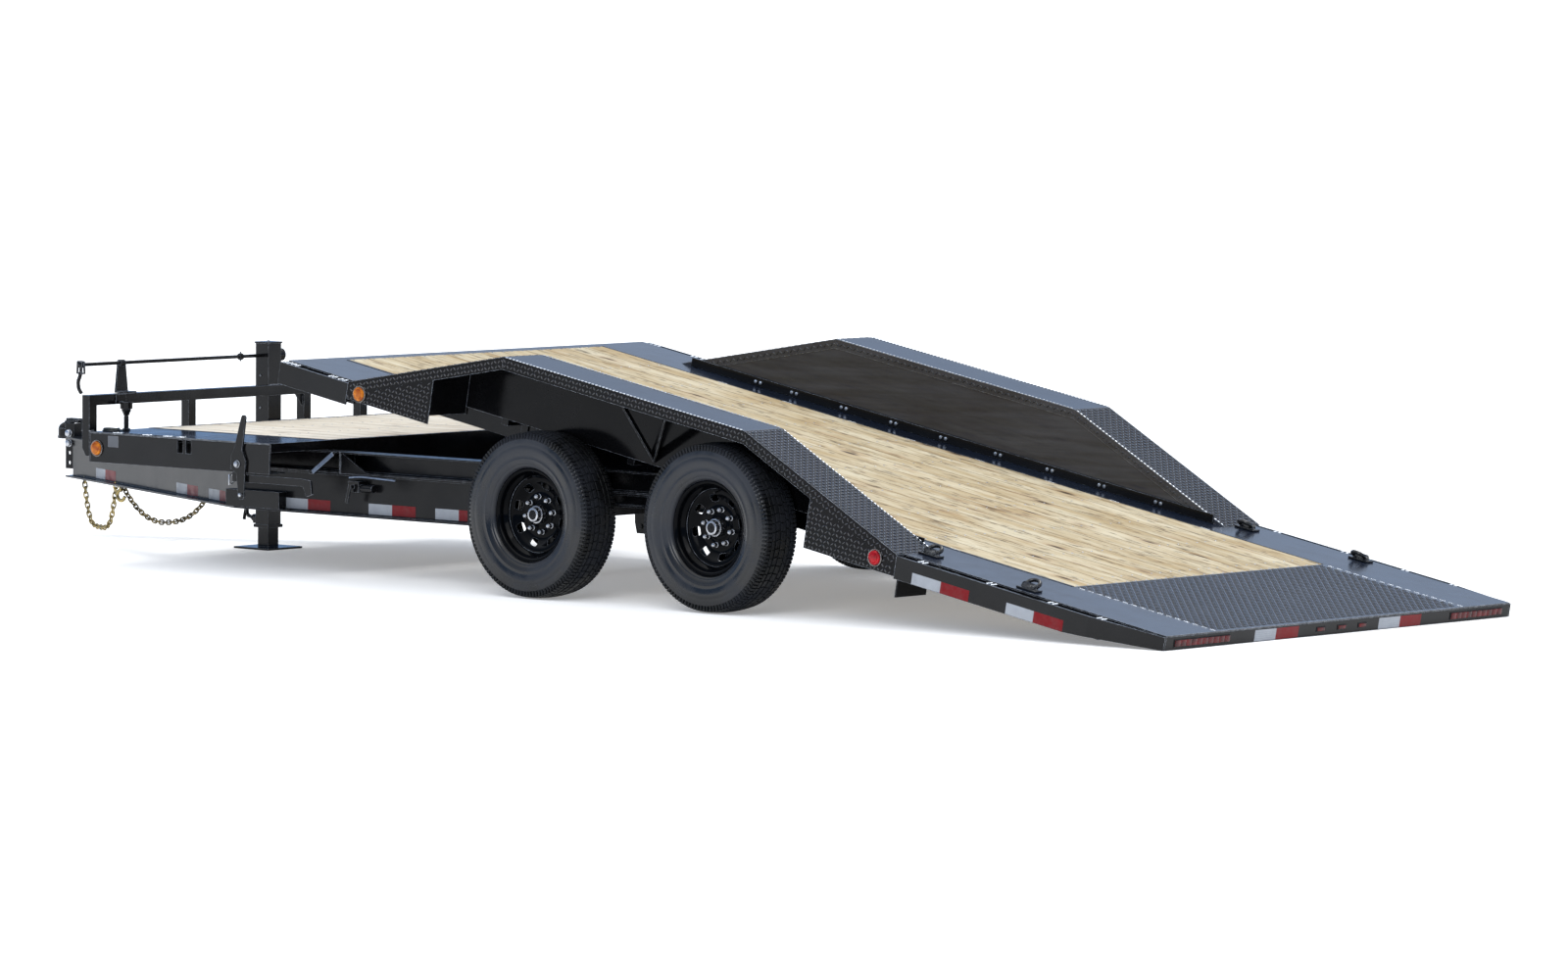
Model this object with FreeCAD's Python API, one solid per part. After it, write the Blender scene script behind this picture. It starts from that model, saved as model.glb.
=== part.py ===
import FreeCAD, Part
import math
import os

# Tilt trailer. Millimetres, +X towards the hitch, +Y to the left side, +Z up.
# It is drawn with X = 0 midway between the two axles and then moved along X, so that the parts' origin
# is on the ground below the middle of the overall length.
# The tilt deck is drawn level and then turned about its pivot to its rest pose, tail on the ground.

V = FreeCAD.Vector
ORIGIN = V(0, 0, 0)
X_AXIS, Y_AXIS, Z_AXIS = V(1, 0, 0), V(0, 1, 0), V(0, 0, 1)

# Overall sizes
half_width = 1295.0
deck_top = 640.0
plate_t = 6.0
board_t = 38.0
board_half_width = half_width - 403.0
plate_outer = half_width - 55.0
edge_bar_t = 10.0
running_gap = 0.05
seat_gap = 0.3

# Wheels and axles
axle_spacing = 1110.0
tyre_radius = 388.0
tyre_width = 222.0
bead_radius = 203.0
flange_radius = 216.0
well_radius = 184.0
rim_half = 77.0
disc_y = 0.0
disc_t = 7.0
hub_radius = 42.0
slot_count = 8
slot_circle = 135.0
nut_radius = 13.0
wheel_y = half_width - 125.0
torsion_arm = 150.0
torsion_tube = 89.0
torsion_wall = 8.0
spindle_radius = 22.0
drum_radius = 165.0
drum_width = 62.0
drum_y = half_width - 241.0
arm_y = half_width - 283.0
arm_t = 24.0
arm_half = 26.0
lug_circle = 82.5
lug_count = 8

# Main frame
rail_height = 203.0
rail_bottom = 292.0
rail_flange = 102.0
rail_web = 7.0
rail_flange_t = 9.0
rail_y = board_half_width + 15.0 + rail_flange / 2
tongue_bend_x = 2730.0
tongue_tip_x = 4850.0
tongue_tip_y = 58.0
step_front_x = 1150.0
step_rear_x = 980.0
rail_end_x = -600.0
riser_top = 597.0
riser_wall = 7.0
riser_end_x = -560.0
riser_clear = 6.0

# Fixed front deck
front_deck_rear_x = 2200.0
front_deck_front_x = 3440.0
side_height = 146.0
slot_rear_x = 2850.0
slot_front_x = 3300.0
notches_x = (2738.0, 2795.0)
face_t = 8.0

# Tilt deck, drawn level
tilt_angle = 10.3
pivot_x = -46.0
pivot_z = 535.0
pivot_pin_radius = 25.0
tilt_front_x = 2190.0
tilt_tail_x = -3250.0
tilt_rail_width = 50.0
tilt_rail_bottom = 515.0
tilt_rail_wall = 6.0
knee_bottom = 603.0
knee_t = 7.5
member_pitch = 406.0
member_width = 40.0
channel_wall = 12.0
outer_bar_bottom = 530.0
outer_bar_top = 634.0
tail_bottom = 574.0
taper_start_x = -2720.0
crossmember_height = 76.0
tail_plate_front_x = -2430.0
front_strip_rear_x = 2140.0
lamp_radius = 41.0
bumper_depth = 58.0

# Tie-down rings: X, Y
ring_places = ((-2419.0, plate_outer - 50), (-1790.0, plate_outer - 110))
skid_bottom = 443.0

# Drive-over fenders
fender_rise = 336.0
ramp_rear_foot_x = -1730.0
fender_rear_x = -745.0
fender_front_x = 775.0
ramp_front_foot_x = 1735.0
fender_inner_y = half_width - 253.0
lip_height = 60.0
inner_lip_height = 45.0
skirt_front_bottom = 560.0
skirt_rear_bottom = 540.0
skirt_front_rear_x = 1195.0
skirt_rear_front_x = -1185.0
sheet = 5.0

# Hold-down lever's pivot bolt, and the cushion valve
lever_x = 2412.0
lever_z = 534.0
valve_x = 1934.0

# Jack
jack_x = 3514.0
jack_tube = 89.0
jack_wall = 6.0
jack_bottom = 105.0
jack_top = 1020.0
leg_tube = 72.0
leg_top = 600.0
jack_lift = 80.0
crank_drop = 60.0
crank_radius = 9.0
crank_grip = ((6, 0, -40), (14, 2, -80), (14, 0, -112), (2, -4, -138))
stand_y = half_width - 285.0
foot_size = 240.0
foot_t = 10.0

# Coupler
channel_half = 55.0
coupler_low = 330.0
coupler_high = 560.0
ball_bore = 30.0

# Cushion cylinder: foot pin on the frame, eye pin on the tilt deck drawn level, as X, Z
cylinder_foot = (962.0, 250.0)
cylinder_eye = (954.0, 560.0)
barrel_radius = 30.0
barrel_length = 262.0
rod_radius = 16.0
eye_pin = 12.0
eye_radius = 24.0
eye_play = 3.5
eye_gap = 34.0
ear_t = 12.0

# Headboard
post = 50.0
mid_rail_top = 815.0
post_places = (half_width - post / 2, 600.0, -200.0, -600.0, post / 2 - half_width)
board_count = 13
board_gap = 1.5

# Wiring plug that hangs behind the mid rail, and the breakaway cable that lies coiled beside it
plug_x = front_deck_front_x - 42.0
plug_y = half_width - 207.0
plug_radius = 24.0
plug_top = mid_rail_top - 44.0
loom_radius = 13.0
cable_radius = 4.0
coil_x = front_deck_front_x - 48.0
coil_y = plate_outer - 47.0
coil_outer = 46.0
coil_inner = 28.0
coil_height = 16.0
cable_tail = 58.0

# Safety chains: the left one's ends, then the right one's ends on the right and on the left rail
left_chain_x = (4700.0, 4300.0)
right_chain_x = (4217.0, 4180.0)
chain_wire = 8.5
chain_pitch = 26.2
link_play = 1.1
chain_steps = 40

rear_axle_x = -axle_spacing / 2
front_axle_x = axle_spacing / 2
axle_z = tyre_radius
rail_top = rail_bottom + rail_height
step_bottom = axle_z + torsion_tube / 2
fender_top = deck_top + fender_rise
board_bottom = deck_top - board_t
tilt_rail_top = deck_top - plate_t
crossmember_bottom = board_bottom - crossmember_height
rail_inner = rail_y - rail_flange / 2
rail_outer = rail_y + rail_flange / 2

nodes = {}


def add(name, shapes, tilted=False):
    """Keep one node: touching solids joined, the rest side by side."""
    solids = shapes if isinstance(shapes, list) else [shapes]
    body = solids[0]
    if len(solids) > 1:
        body = solids[0].multiFuse(solids[1:]).removeSplitter()
    if tilted:
        body = tilt(body)
    nodes[name] = body


def add_apart(name, solids, tilted=False):
    """Keep one node of solids that stand apart by a seat's gap."""
    group = Part.makeCompound(solids)
    nodes[name] = tilt(group) if tilted else group


def tilt(shape):
    """Turn a shape from level to the rest pose, front up."""
    turned = shape.copy()
    turned.rotate(V(pivot_x, 0, pivot_z), Y_AXIS, -tilt_angle)
    return turned


def box(x0, x1, y0, y1, z0, z1):
    """A block between two corners."""
    low = V(min(x0, x1), min(y0, y1), min(z0, z1))
    return Part.makeBox(abs(x1 - x0), abs(y1 - y0), abs(z1 - z0), low)


def prism(points, direction):
    """A closed outline of points pushed along a vector."""
    wire = Part.makePolygon(points + [points[0]])
    return Part.Face(wire).extrude(direction)


def side_prism(outline, y0, y1):
    """An outline of X, Z pairs pushed from y0 to y1."""
    return prism([V(x, y0, z) for x, z in outline], V(0, y1 - y0, 0))


def plan_prism(outline, z0, z1):
    """An outline of X, Y pairs pushed from z0 to z1."""
    return prism([V(x, y, z0) for x, y in outline], V(0, 0, z1 - z0))


def end_prism(outline, x0, x1):
    """An outline of Y, Z pairs pushed from x0 to x1."""
    return prism([V(x0, y, z) for y, z in outline], V(x1 - x0, 0, 0))


def rod(start, end, radius):
    """A round bar between two points."""
    run = end - start
    return Part.makeCylinder(radius, run.Length, start, run)


def mirrored(shape):
    """The same shape on the right side."""
    return shape.mirror(ORIGIN, Y_AXIS)


def both(shape):
    """A shape and its mirror image."""
    return [shape, mirrored(shape)]


def channel_along_x(x0, x1, web_y, flange_y, z0, z1, wall):
    """A C-section: web at web_y, flanges reaching to flange_y."""
    side = 1 if flange_y > web_y else -1
    web = box(x0, x1, web_y, web_y + side * wall, z0, z1)
    low = box(x0, x1, web_y, flange_y, z0, z0 + wall)
    high = box(x0, x1, web_y, flange_y, z1 - wall, z1)
    return web.fuse(low).fuse(high)


def channel_along_y(y0, y1, web_x, flange_x, z0, z1, wall):
    """A C-section lying across the trailer."""
    side = 1 if flange_x > web_x else -1
    web = box(web_x, web_x + side * wall, y0, y1, z0, z1)
    low = box(web_x, flange_x, y0, y1, z0, z0 + wall)
    high = box(web_x, flange_x, y0, y1, z1 - wall, z1)
    return web.fuse(low).fuse(high)


def tongue_y(x):
    """Centre of the tongue rail across the trailer at a place along it."""
    share = (x - tongue_bend_x) / (tongue_tip_x - tongue_bend_x)
    return rail_y + share * (tongue_tip_y - rail_y)


def main_rail():
    """Left rail: I-beam tongue, main run, step over the axles and tapered end."""
    length = math.hypot(tongue_tip_x - tongue_bend_x, tongue_tip_y - rail_y)
    heading = math.degrees(math.atan2(tongue_tip_y - rail_y, tongue_tip_x - tongue_bend_x))
    overrun = rail_flange / 2
    pieces = []
    for half, z0, z1 in (
        (rail_web / 2, rail_bottom, rail_top),
        (rail_flange / 2, rail_bottom, rail_bottom + rail_flange_t),
        (rail_flange / 2, rail_top - rail_flange_t, rail_top),
    ):
        arm = box(-overrun, length + overrun, -half, half, z0, z1)
        arm.rotate(ORIGIN, Z_AXIS, heading)
        arm.translate(V(tongue_bend_x, rail_y, 0))
        pieces.append(arm)
    tongue = pieces[0].multiFuse(pieces[1:])
    keep = box(tongue_bend_x, tongue_tip_x, seat_gap / 2, half_width, 0, deck_top)
    tongue = tongue.common(keep)

    under = [(tongue_bend_x, rail_bottom), (step_front_x, rail_bottom), (step_rear_x, step_bottom),
             (rail_end_x, step_bottom)]
    over = [(rail_end_x, rail_top), (tongue_bend_x, rail_top)]
    web = side_prism(under + over, rail_y - rail_web / 2, rail_y + rail_web / 2)
    low = under + [(x, z + rail_flange_t) for x, z in reversed(under)]
    high = over + [(x, z - rail_flange_t) for x, z in reversed(over)]
    low_flange = side_prism(low, rail_y - rail_flange / 2, rail_y + rail_flange / 2)
    high_flange = side_prism(high, rail_y - rail_flange / 2, rail_y + rail_flange / 2)
    return web.multiFuse([low_flange, high_flange, tongue]).removeSplitter()


def rest_line(x, level_z):
    """Height at rest, at a place along the trailer, of a line that is level on the tilt deck."""
    turn = math.radians(tilt_angle)
    return pivot_z + (x - pivot_x) * math.tan(turn) + (level_z - pivot_z) / math.cos(turn)


def riser():
    """Left riser: a channel on the rail, cut back behind the pivot so that the tilt deck clears it."""
    x1 = front_deck_front_x - face_t - seat_gap
    slope_x = pivot_x - 6
    end_z = rest_line(riser_end_x, knee_bottom) - riser_clear
    top_line = [(x1, riser_top), (slope_x, riser_top), (riser_end_x, end_z)]
    web = side_prism(top_line + [(riser_end_x, rail_top), (x1, rail_top)], rail_inner, rail_inner + riser_wall)
    low = box(riser_end_x, x1, rail_inner, rail_outer, rail_top, rail_top + riser_wall)
    high = side_prism(top_line + [(x, z - riser_wall) for x, z in reversed(top_line)], rail_inner, rail_outer)
    plate_x = front_deck_rear_x - 184
    stiffener = box(plate_x, plate_x + 8, rail_inner, rail_outer, rail_top, riser_top)
    gusset = side_prism([(plate_x, riser_top), (plate_x, rail_top), (plate_x - 186, rail_top)], rail_outer - 9,
                        rail_outer)
    pin_hole = rod(V(pivot_x, 0, pivot_z), V(pivot_x, half_width, pivot_z), pivot_pin_radius + seat_gap)
    return web.multiFuse([low, high, stiffener, gusset]).removeSplitter().cut(pin_hole)


def frame():
    """The fixed frame's rails, risers, crossmembers and pivot pins."""
    left = main_rail()
    add("main_rail_left", left)
    add("main_rail_right", mirrored(left))
    add_apart("frame_risers", both(riser()))

    web_face = rail_y - rail_web / 2 - seat_gap
    member_low = rail_bottom + rail_flange_t + 30
    member_high = member_low + 102
    members = []
    for x in (2650.0, 2250.0, 1750.0, 1250.0):
        members.append(channel_along_y(-web_face, web_face, x, x - 45, member_low, member_high, 7))
    members.append(channel_along_y(-web_face, web_face, 100, 60, step_bottom + rail_flange_t + 1,
                                   rail_top - rail_flange_t - 1, 6))
    jack_face = jack_tube / 2 + seat_gap
    for web_x, flange_x in ((jack_x - jack_face, jack_x - jack_face - 45), (jack_x + jack_face, jack_x + jack_face + 45)):
        reach = tongue_y(max(web_x, flange_x)) - rail_web
        members.append(channel_along_y(-reach, reach, web_x, flange_x, member_low, member_high, 7))
    for y in (-jack_face - 12, jack_face):
        members.append(box(jack_x - jack_tube / 2, jack_x + jack_tube / 2, y, y + 12, member_low, member_high))
    members += cylinder_mount(web_face)
    add_apart("frame_crossmembers", members)

    # Flanged pins that the tilt deck turns on, set in the risers' webs
    web_out = rail_inner + riser_wall
    flange = rod(V(pivot_x, web_out, pivot_z), V(pivot_x, web_out + 12, pivot_z), 32)
    pin = rod(V(pivot_x, board_half_width - 44, pivot_z), V(pivot_x, web_out + 12, pivot_z), pivot_pin_radius)
    pin = pin.fuse(flange)
    add_apart("pivot_pins", both(pin))


def cylinder_mount(web_face):
    """Crossmember, two hangers and the pin for the cushion cylinder's foot."""
    x, z = cylinder_foot
    beam = channel_along_y(-web_face, web_face, x + 40, x + 80, 430, 484, 6)
    pieces = [beam, rod(V(x, -eye_gap - ear_t - 6, z), V(x, eye_gap + ear_t + 6, z), eye_pin)]
    hole = rod(V(x, -eye_gap - 40, z), V(x, eye_gap + 40, z), eye_pin + seat_gap)
    face = x + 40 - seat_gap
    for y in (eye_gap, -eye_gap - ear_t):
        outline = [(x - 30, z - 34), (x + 26, z - 34), (face, z + 20), (face, 484), (face - 22, 484), (x - 30, z + 60)]
        pieces.append(side_prism(outline, y, y + ear_t).cut(hole))
    return pieces


def coupler():
    """Vertical channel with a row of holes at the tongue's tip, and the ball coupler bolted to it."""
    face_x = tongue_tip_x
    channel = box(face_x, face_x + 10, -channel_half, channel_half, coupler_low, coupler_high)
    for y in (-channel_half, channel_half - 9):
        channel = channel.fuse(box(face_x, face_x + 60, y, y + 9, coupler_low, coupler_high))
    holes = [coupler_low + 30 + 50 * i for i in range(5)]
    for z in holes[:4]:
        channel = channel.cut(rod(V(face_x + 34, -100, z), V(face_x + 34, 100, z), 10))
    add("coupler_channel", channel)

    ball_x = face_x + 112
    inside = channel_half - 9 - seat_gap
    block = box(face_x + 12, face_x + 62, -inside, inside, coupler_high - 130, coupler_high - 30)
    neck = side_prism([(face_x + 60, coupler_high - 95), (ball_x - 20, coupler_high - 70), (ball_x - 20, coupler_high - 6),
                       (face_x + 60, coupler_high - 32)], -30, 30)
    socket = rod(V(ball_x, 0, 478), V(ball_x, 0, 530), 42)
    dome = Part.makeSphere(42, V(ball_x, 0, 520)).common(box(face_x, face_x + 300, -60, 60, 520, 600))
    ball_space = Part.makeSphere(30, V(ball_x, 0, 506)).fuse(rod(V(ball_x, 0, 470), V(ball_x, 0, 506), ball_bore))
    head = block.multiFuse([neck, socket, dome]).cut(ball_space)
    fasteners = []
    for z in holes[2:4]:
        head = head.cut(rod(V(face_x + 34, -60, z), V(face_x + 34, 60, z), 9.7))
        bolt = rod(V(face_x + 34, -channel_half - 14, z), V(face_x + 34, channel_half + 8, z), 9.7)
        cap = rod(V(face_x + 34, channel_half, z), V(face_x + 34, channel_half + 12, z), 15)
        nut = rod(V(face_x + 34, -channel_half - 14, z), V(face_x + 34, -channel_half, z), 15)
        fasteners.append(bolt.multiFuse([cap, nut]))
    add("coupler", [head] + fasteners)


def front_deck():
    """The fixed deck ahead of the tilt deck."""
    x0, x1 = front_deck_rear_x, front_deck_front_x
    low = deck_top - side_height
    web_in = half_width - 8
    side = channel_along_x(x0 + face_t + seat_gap, x1 - face_t - seat_gap, half_width, web_in - 100, low, tilt_rail_top, 8)
    inner = rail_inner - seat_gap
    reach = half_width
    slot = box(slot_rear_x, slot_front_x, plate_outer + 2, web_in - 1, tilt_rail_top - 9, deck_top + 1)
    side = side.cut(slot)
    for x in notches_x:
        side = side.cut(box(x, x + 36, web_in - 2, half_width + 1, deck_top - 74, deck_top - 10))
    members = both(side)
    for x in (x0 + face_t + seat_gap, x0 + 430, x0 + 810):
        members.append(channel_along_y(-inner, inner, x, x + member_width, rail_top + seat_gap, board_bottom, 6))
    members.append(channel_along_y(-inner, inner, x1 - face_t - seat_gap, x1 - face_t - member_width,
                                   rail_top + seat_gap, board_bottom, 6))
    for x in (x0 + 20, x0 + 430, x0 + 810, x1 - face_t - 50):
        members += both(box(x, x + member_width, board_half_width + 3, web_in - 100 - seat_gap,
                            riser_top + seat_gap, tilt_rail_top))
    members.append(box(x1 - face_t, x1, -reach, reach, rail_top + seat_gap, deck_top))
    half_outline = [(reach, deck_top), (reach, riser_top + seat_gap), (inner, riser_top + seat_gap),
                    (inner, rail_top + seat_gap)]
    outline = half_outline + [(-y, z) for y, z in reversed(half_outline)]
    members.append(end_prism(outline, x0, x0 + face_t))
    add_apart("front_deck_frame", members)

    add_apart("front_deck_boards", boards(x0 + face_t + 1, x1 - face_t - 1))
    plate = box(x0 + face_t + seat_gap, x1 - face_t - seat_gap, board_half_width + 2, half_width,
                tilt_rail_top + seat_gap, deck_top).cut(slot)
    add_apart("front_deck_plates", both(plate))


def boards(x0, x1):
    """A floor of boards laid along the trailer."""
    pitch = 2 * board_half_width / board_count
    planks = []
    for i in range(board_count):
        y = -board_half_width + i * pitch
        planks.append(box(x0, x1, y + board_gap, y + pitch - board_gap, board_bottom + seat_gap, deck_top))
    return planks


def headboard():
    """Posts and a rail across the front, and the stand that carries the crank's shaft."""
    x0 = front_deck_front_x + seat_gap
    x1 = x0 + post
    low = deck_top - side_height + 26
    posts = []
    for y in post_places:
        foot = [(x0, low), (x0, mid_rail_top), (x1, mid_rail_top), (x1, low + 40), (x0 + 25, low)]
        posts.append(side_prism(foot, y - post / 2, y + post / 2))
    mid = box(x0, x1, -half_width, half_width, mid_rail_top - post, mid_rail_top)
    notch = box(jack_x - jack_tube / 2 - 8, x1 + 1, -jack_tube / 2 - 6, jack_tube / 2 + 6, low, mid_rail_top + 1)
    corner = -200 + post / 2
    gusset = end_prism([(corner, mid_rail_top - post), (corner + 45, mid_rail_top - post),
                        (corner, mid_rail_top - post - 60)], x0 + 12, x0 + 20)
    frame_shape = mid.multiFuse(posts + [gusset]).cut(notch)
    bores = [box(x0 + 5, x1 - 5, y - post / 2 + 5, y + post / 2 - 5, low + 60, mid_rail_top - 5)
             for y in post_places]
    bores.append(box(x0 + 5, x1 - 5, jack_tube / 2 + 12, half_width - 5, mid_rail_top - post + 5, mid_rail_top - 5))
    bores.append(mirrored(bores[-1]))
    frame_shape = frame_shape.cut(bores[0].multiFuse(bores[1:]))

    crank_z = jack_top - crank_drop
    stand = end_prism([(stand_y - 42, mid_rail_top), (stand_y + 42, mid_rail_top), (stand_y + 24, crank_z + 10),
                       (stand_y - 24, crank_z + 10)], jack_x - 5, jack_x + 5)
    foot_bar = box(x0 + 10, jack_x + 5, stand_y - 42, stand_y + 42, mid_rail_top, mid_rail_top + 8)
    sleeve = rod(V(jack_x, stand_y - 16, crank_z), V(jack_x, stand_y + 16, crank_z), crank_radius + 7)
    hole = rod(V(jack_x, stand_y - 60, crank_z), V(jack_x, stand_y + 60, crank_z), crank_radius + 0.5)
    add("headboard", [frame_shape, stand.multiFuse([foot_bar, sleeve]).cut(hole)])


def plug():
    """Wiring plug in its cup behind the mid rail with its loom, and the breakaway cable coiled on the deck."""
    at = V(plug_x, plug_y, 0)
    face = front_deck_front_x
    cup_low, cup_top = plug_top - 27, plug_top + 7
    cup = rod(at + V(0, 0, cup_low), at + V(0, 0, cup_top), plug_radius + 7)
    arm = box(plug_x, face, plug_y - 12, plug_y + 12, cup_top - 10, cup_top)
    seat = box(face - 6, face, plug_y - 34, plug_y + 34, mid_rail_top - post + 3, mid_rail_top - 3)
    socket = rod(at + V(0, 0, cup_low - 1), at + V(0, 0, plug_top + seat_gap), plug_radius + running_gap)
    grommet_top = deck_top + 8
    grommet = rod(at + V(0, 0, deck_top + seat_gap), at + V(0, 0, grommet_top), loom_radius + 7)
    add_apart("plug_holder", [cup.multiFuse([arm, seat]).cut(socket), grommet])

    boot_top, boot_low = plug_top - 38, plug_top - 59
    body = rod(at + V(0, 0, boot_top), at + V(0, 0, plug_top), plug_radius)
    boot = Part.makeCone(loom_radius + 1, plug_radius - 2, boot_top - boot_low, at + V(0, 0, boot_low))
    add("wiring_plug", body.fuse(boot))
    add("plug_loom", rod(at + V(0, 0, grommet_top), at + V(0, 0, boot_low), loom_radius))

    low = deck_top + seat_gap
    ring = rod(V(coil_x, coil_y, low), V(coil_x, coil_y, low + coil_height), coil_outer)
    ring = ring.cut(rod(V(coil_x, coil_y, low - 1), V(coil_x, coil_y, low + coil_height + 1), coil_inner))
    ring = ring.makeFillet(5, [e for e in ring.Edges if isinstance(e.Curve, Part.Circle)])
    lie_y, lie_z = coil_y - coil_outer + cable_radius, low + cable_radius
    stub_x, clamp_x = coil_x - coil_outer + 18, coil_x - cable_tail
    stub = rod(V(coil_x - 10, lie_y, lie_z), V(stub_x, lie_y, lie_z), cable_radius)
    add("breakaway_coil", ring.fuse(stub))
    add("breakaway_cable", rod(V(stub_x, lie_y, lie_z), V(clamp_x, lie_y, lie_z), cable_radius))
    clamp = box(clamp_x - 14, clamp_x, lie_y - 9, lie_y + 9, low, low + 13)
    add("cable_clamp", clamp.makeFillet(2, clamp.Edges))


def jack():
    """Centre jack: housing with gearbox, crank, and the drop leg that slides in it."""
    half = jack_tube / 2
    inner = half - jack_wall
    guide = leg_tube / 2 + running_gap
    tube = box(jack_x - half, jack_x + half, -half, half, jack_bottom, jack_top)
    hollow = box(jack_x - inner, jack_x + inner, -inner, inner, jack_bottom + 60, leg_top + jack_lift + 20)
    hollow = hollow.fuse(box(jack_x - guide, jack_x + guide, -guide, guide, jack_bottom - 1, jack_bottom + 61))
    cap = box(jack_x - half - 5, jack_x + half + 5, -half - 5, half + 5, jack_top, jack_top + 8)
    crank_z = jack_top - crank_drop
    gearbox = rod(V(jack_x, -half - 46, crank_z), V(jack_x, -half + 1, crank_z), 32)
    collar = box(jack_x - half - 7, jack_x + half + 7, -half - 7, half + 7, jack_bottom, jack_bottom + 16)
    gear_face = rod(V(jack_x, -half - 52, crank_z), V(jack_x, -half - 46, crank_z), 18)
    pin_z = jack_bottom + 42
    pin_x = jack_x + half
    keeper = box(pin_x - 1, pin_x + 6, -24, 24, pin_z - 30, pin_z + 26)
    barrel = rod(V(pin_x, 0, pin_z), V(pin_x + 62, 0, pin_z), 15)
    grip_points = (V(pin_x + 60, 0, pin_z), V(pin_x + 96, 0, pin_z + 6), V(pin_x + 104, 0, pin_z + 52),
                   V(pin_x + 82, 0, pin_z + 78))
    grips = []
    for a, b in zip(grip_points, grip_points[1:]):
        grips += [rod(a, b, 7), Part.makeSphere(7, b)]
    housing = tube.multiFuse([cap, gearbox, gear_face, collar, keeper, barrel] + grips).cut(hollow)
    add("jack_housing", housing)

    leg_half = leg_tube / 2
    leg = box(jack_x - leg_half, jack_x + leg_half, -leg_half, leg_half, foot_t, leg_top)
    leg = leg.cut(box(jack_x - leg_half + 5, jack_x + leg_half - 5, -leg_half + 5, leg_half - 5, foot_t, leg_top + 1))
    foot = box(jack_x - foot_size / 2, jack_x + foot_size / 2, -foot_size / 2, foot_size / 2, 0, foot_t)
    add("jack_leg", [leg, foot])

    end_y = half_width - 14
    shaft = rod(V(jack_x, half + seat_gap, crank_z), V(jack_x, end_y, crank_z), crank_radius)
    stop = rod(V(jack_x, half + 140, crank_z), V(jack_x, half + 160, crank_z), 17)
    yoke = side_prism([(jack_x - 22, crank_z + 18), (jack_x + 22, crank_z + 18), (jack_x + 35, crank_z + 2),
                       (jack_x + 28, crank_z - 44), (jack_x - 28, crank_z - 44), (jack_x - 35, crank_z + 2)],
                      end_y - 5, end_y + 5)
    for x in (jack_x - 24, jack_x + 6):
        yoke = yoke.cut(box(x, x + 18, end_y - 9, end_y + 9, crank_z - 34, crank_z - 8))
    grip_points = [V(jack_x + dx, end_y + dy, crank_z + dz) for dx, dy, dz in crank_grip]
    grips = []
    for a, b in zip(grip_points, grip_points[1:]):
        grips += [rod(a, b, 9.5), Part.makeSphere(9.5, b)]
    add("jack_crank", [shaft, stop, yoke] + grips)


def chain(points, rail_under):
    """Links along a hanging run of points, each turned a quarter from the last, with an anchor loop at each end."""
    span = points[-1] - points[0]
    level = V(-span.y, span.x, 0).normalize()
    lengths = [(points[i + 1] - points[i]).Length for i in range(len(points) - 1)]
    total = sum(lengths)
    count = int(total / chain_pitch)
    pitch = total / count
    keep = box(-9000, 9000, -2000, 2000, 0, rail_under - seat_gap)
    links = []
    for i in range(-1, count + 1):
        place = (i + 0.5) * pitch
        k = 0
        while k < len(lengths) - 1 and place > lengths[k]:
            place -= lengths[k]
            k += 1
        along = (points[k + 1] - points[k]).normalize()
        across = along.cross(level).normalize()
        link = chain_link(points[k] + along * place, along, across if i % 2 else level, pitch + link_play)
        links.append(link.common(keep) if i in (-1, count) else link)
    return links


def chain_link(centre, along, across, inside):
    """One link: a flat ring with cut corners, long way along the chain."""
    half_length = inside / 2 + chain_wire
    half_breadth = chain_wire * 1.8
    normal = along.cross(across).normalize()

    def ring(grow):
        corners = []
        long_half, short_half = half_length - grow, half_breadth - grow
        cut = short_half * 0.33
        for a, c in ((long_half, short_half - cut), (long_half - cut, short_half), (cut - long_half, short_half),
                     (-long_half, short_half - cut), (-long_half, cut - short_half), (cut - long_half, -short_half),
                     (long_half - cut, -short_half), (long_half, cut - short_half)):
            corners.append(centre + along * a + across * c - normal * (chain_wire / 2))
        return prism(corners, normal * chain_wire)

    return ring(0).cut(ring(chain_wire))


def chains():
    """Two safety chains hanging in loops below the tongue, and the hook on the left rail."""
    hang_z = rail_bottom - 20
    # Columns: name, end X, sides of the two ends, lowest Z, how blunt the loop is
    runs = (("safety_chain_left", left_chain_x, (1, 1), 62.0, 4.0),
            ("safety_chain_right", right_chain_x, (-1, 1), 92.0, 2.4))
    for name, (ax, bx), signs, low, power in runs:
        ay, by = [sign * tongue_y(x) for sign, x in zip(signs, (ax, bx))]
        points = []
        for i in range(chain_steps + 1):
            t = i / chain_steps
            reach = abs(2 * t - 1) ** power
            points.append(V(ax + (bx - ax) * t, ay + (by - ay) * t, low + (hang_z - low) * reach))
        add_apart(name, chain(points, rail_bottom))


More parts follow.
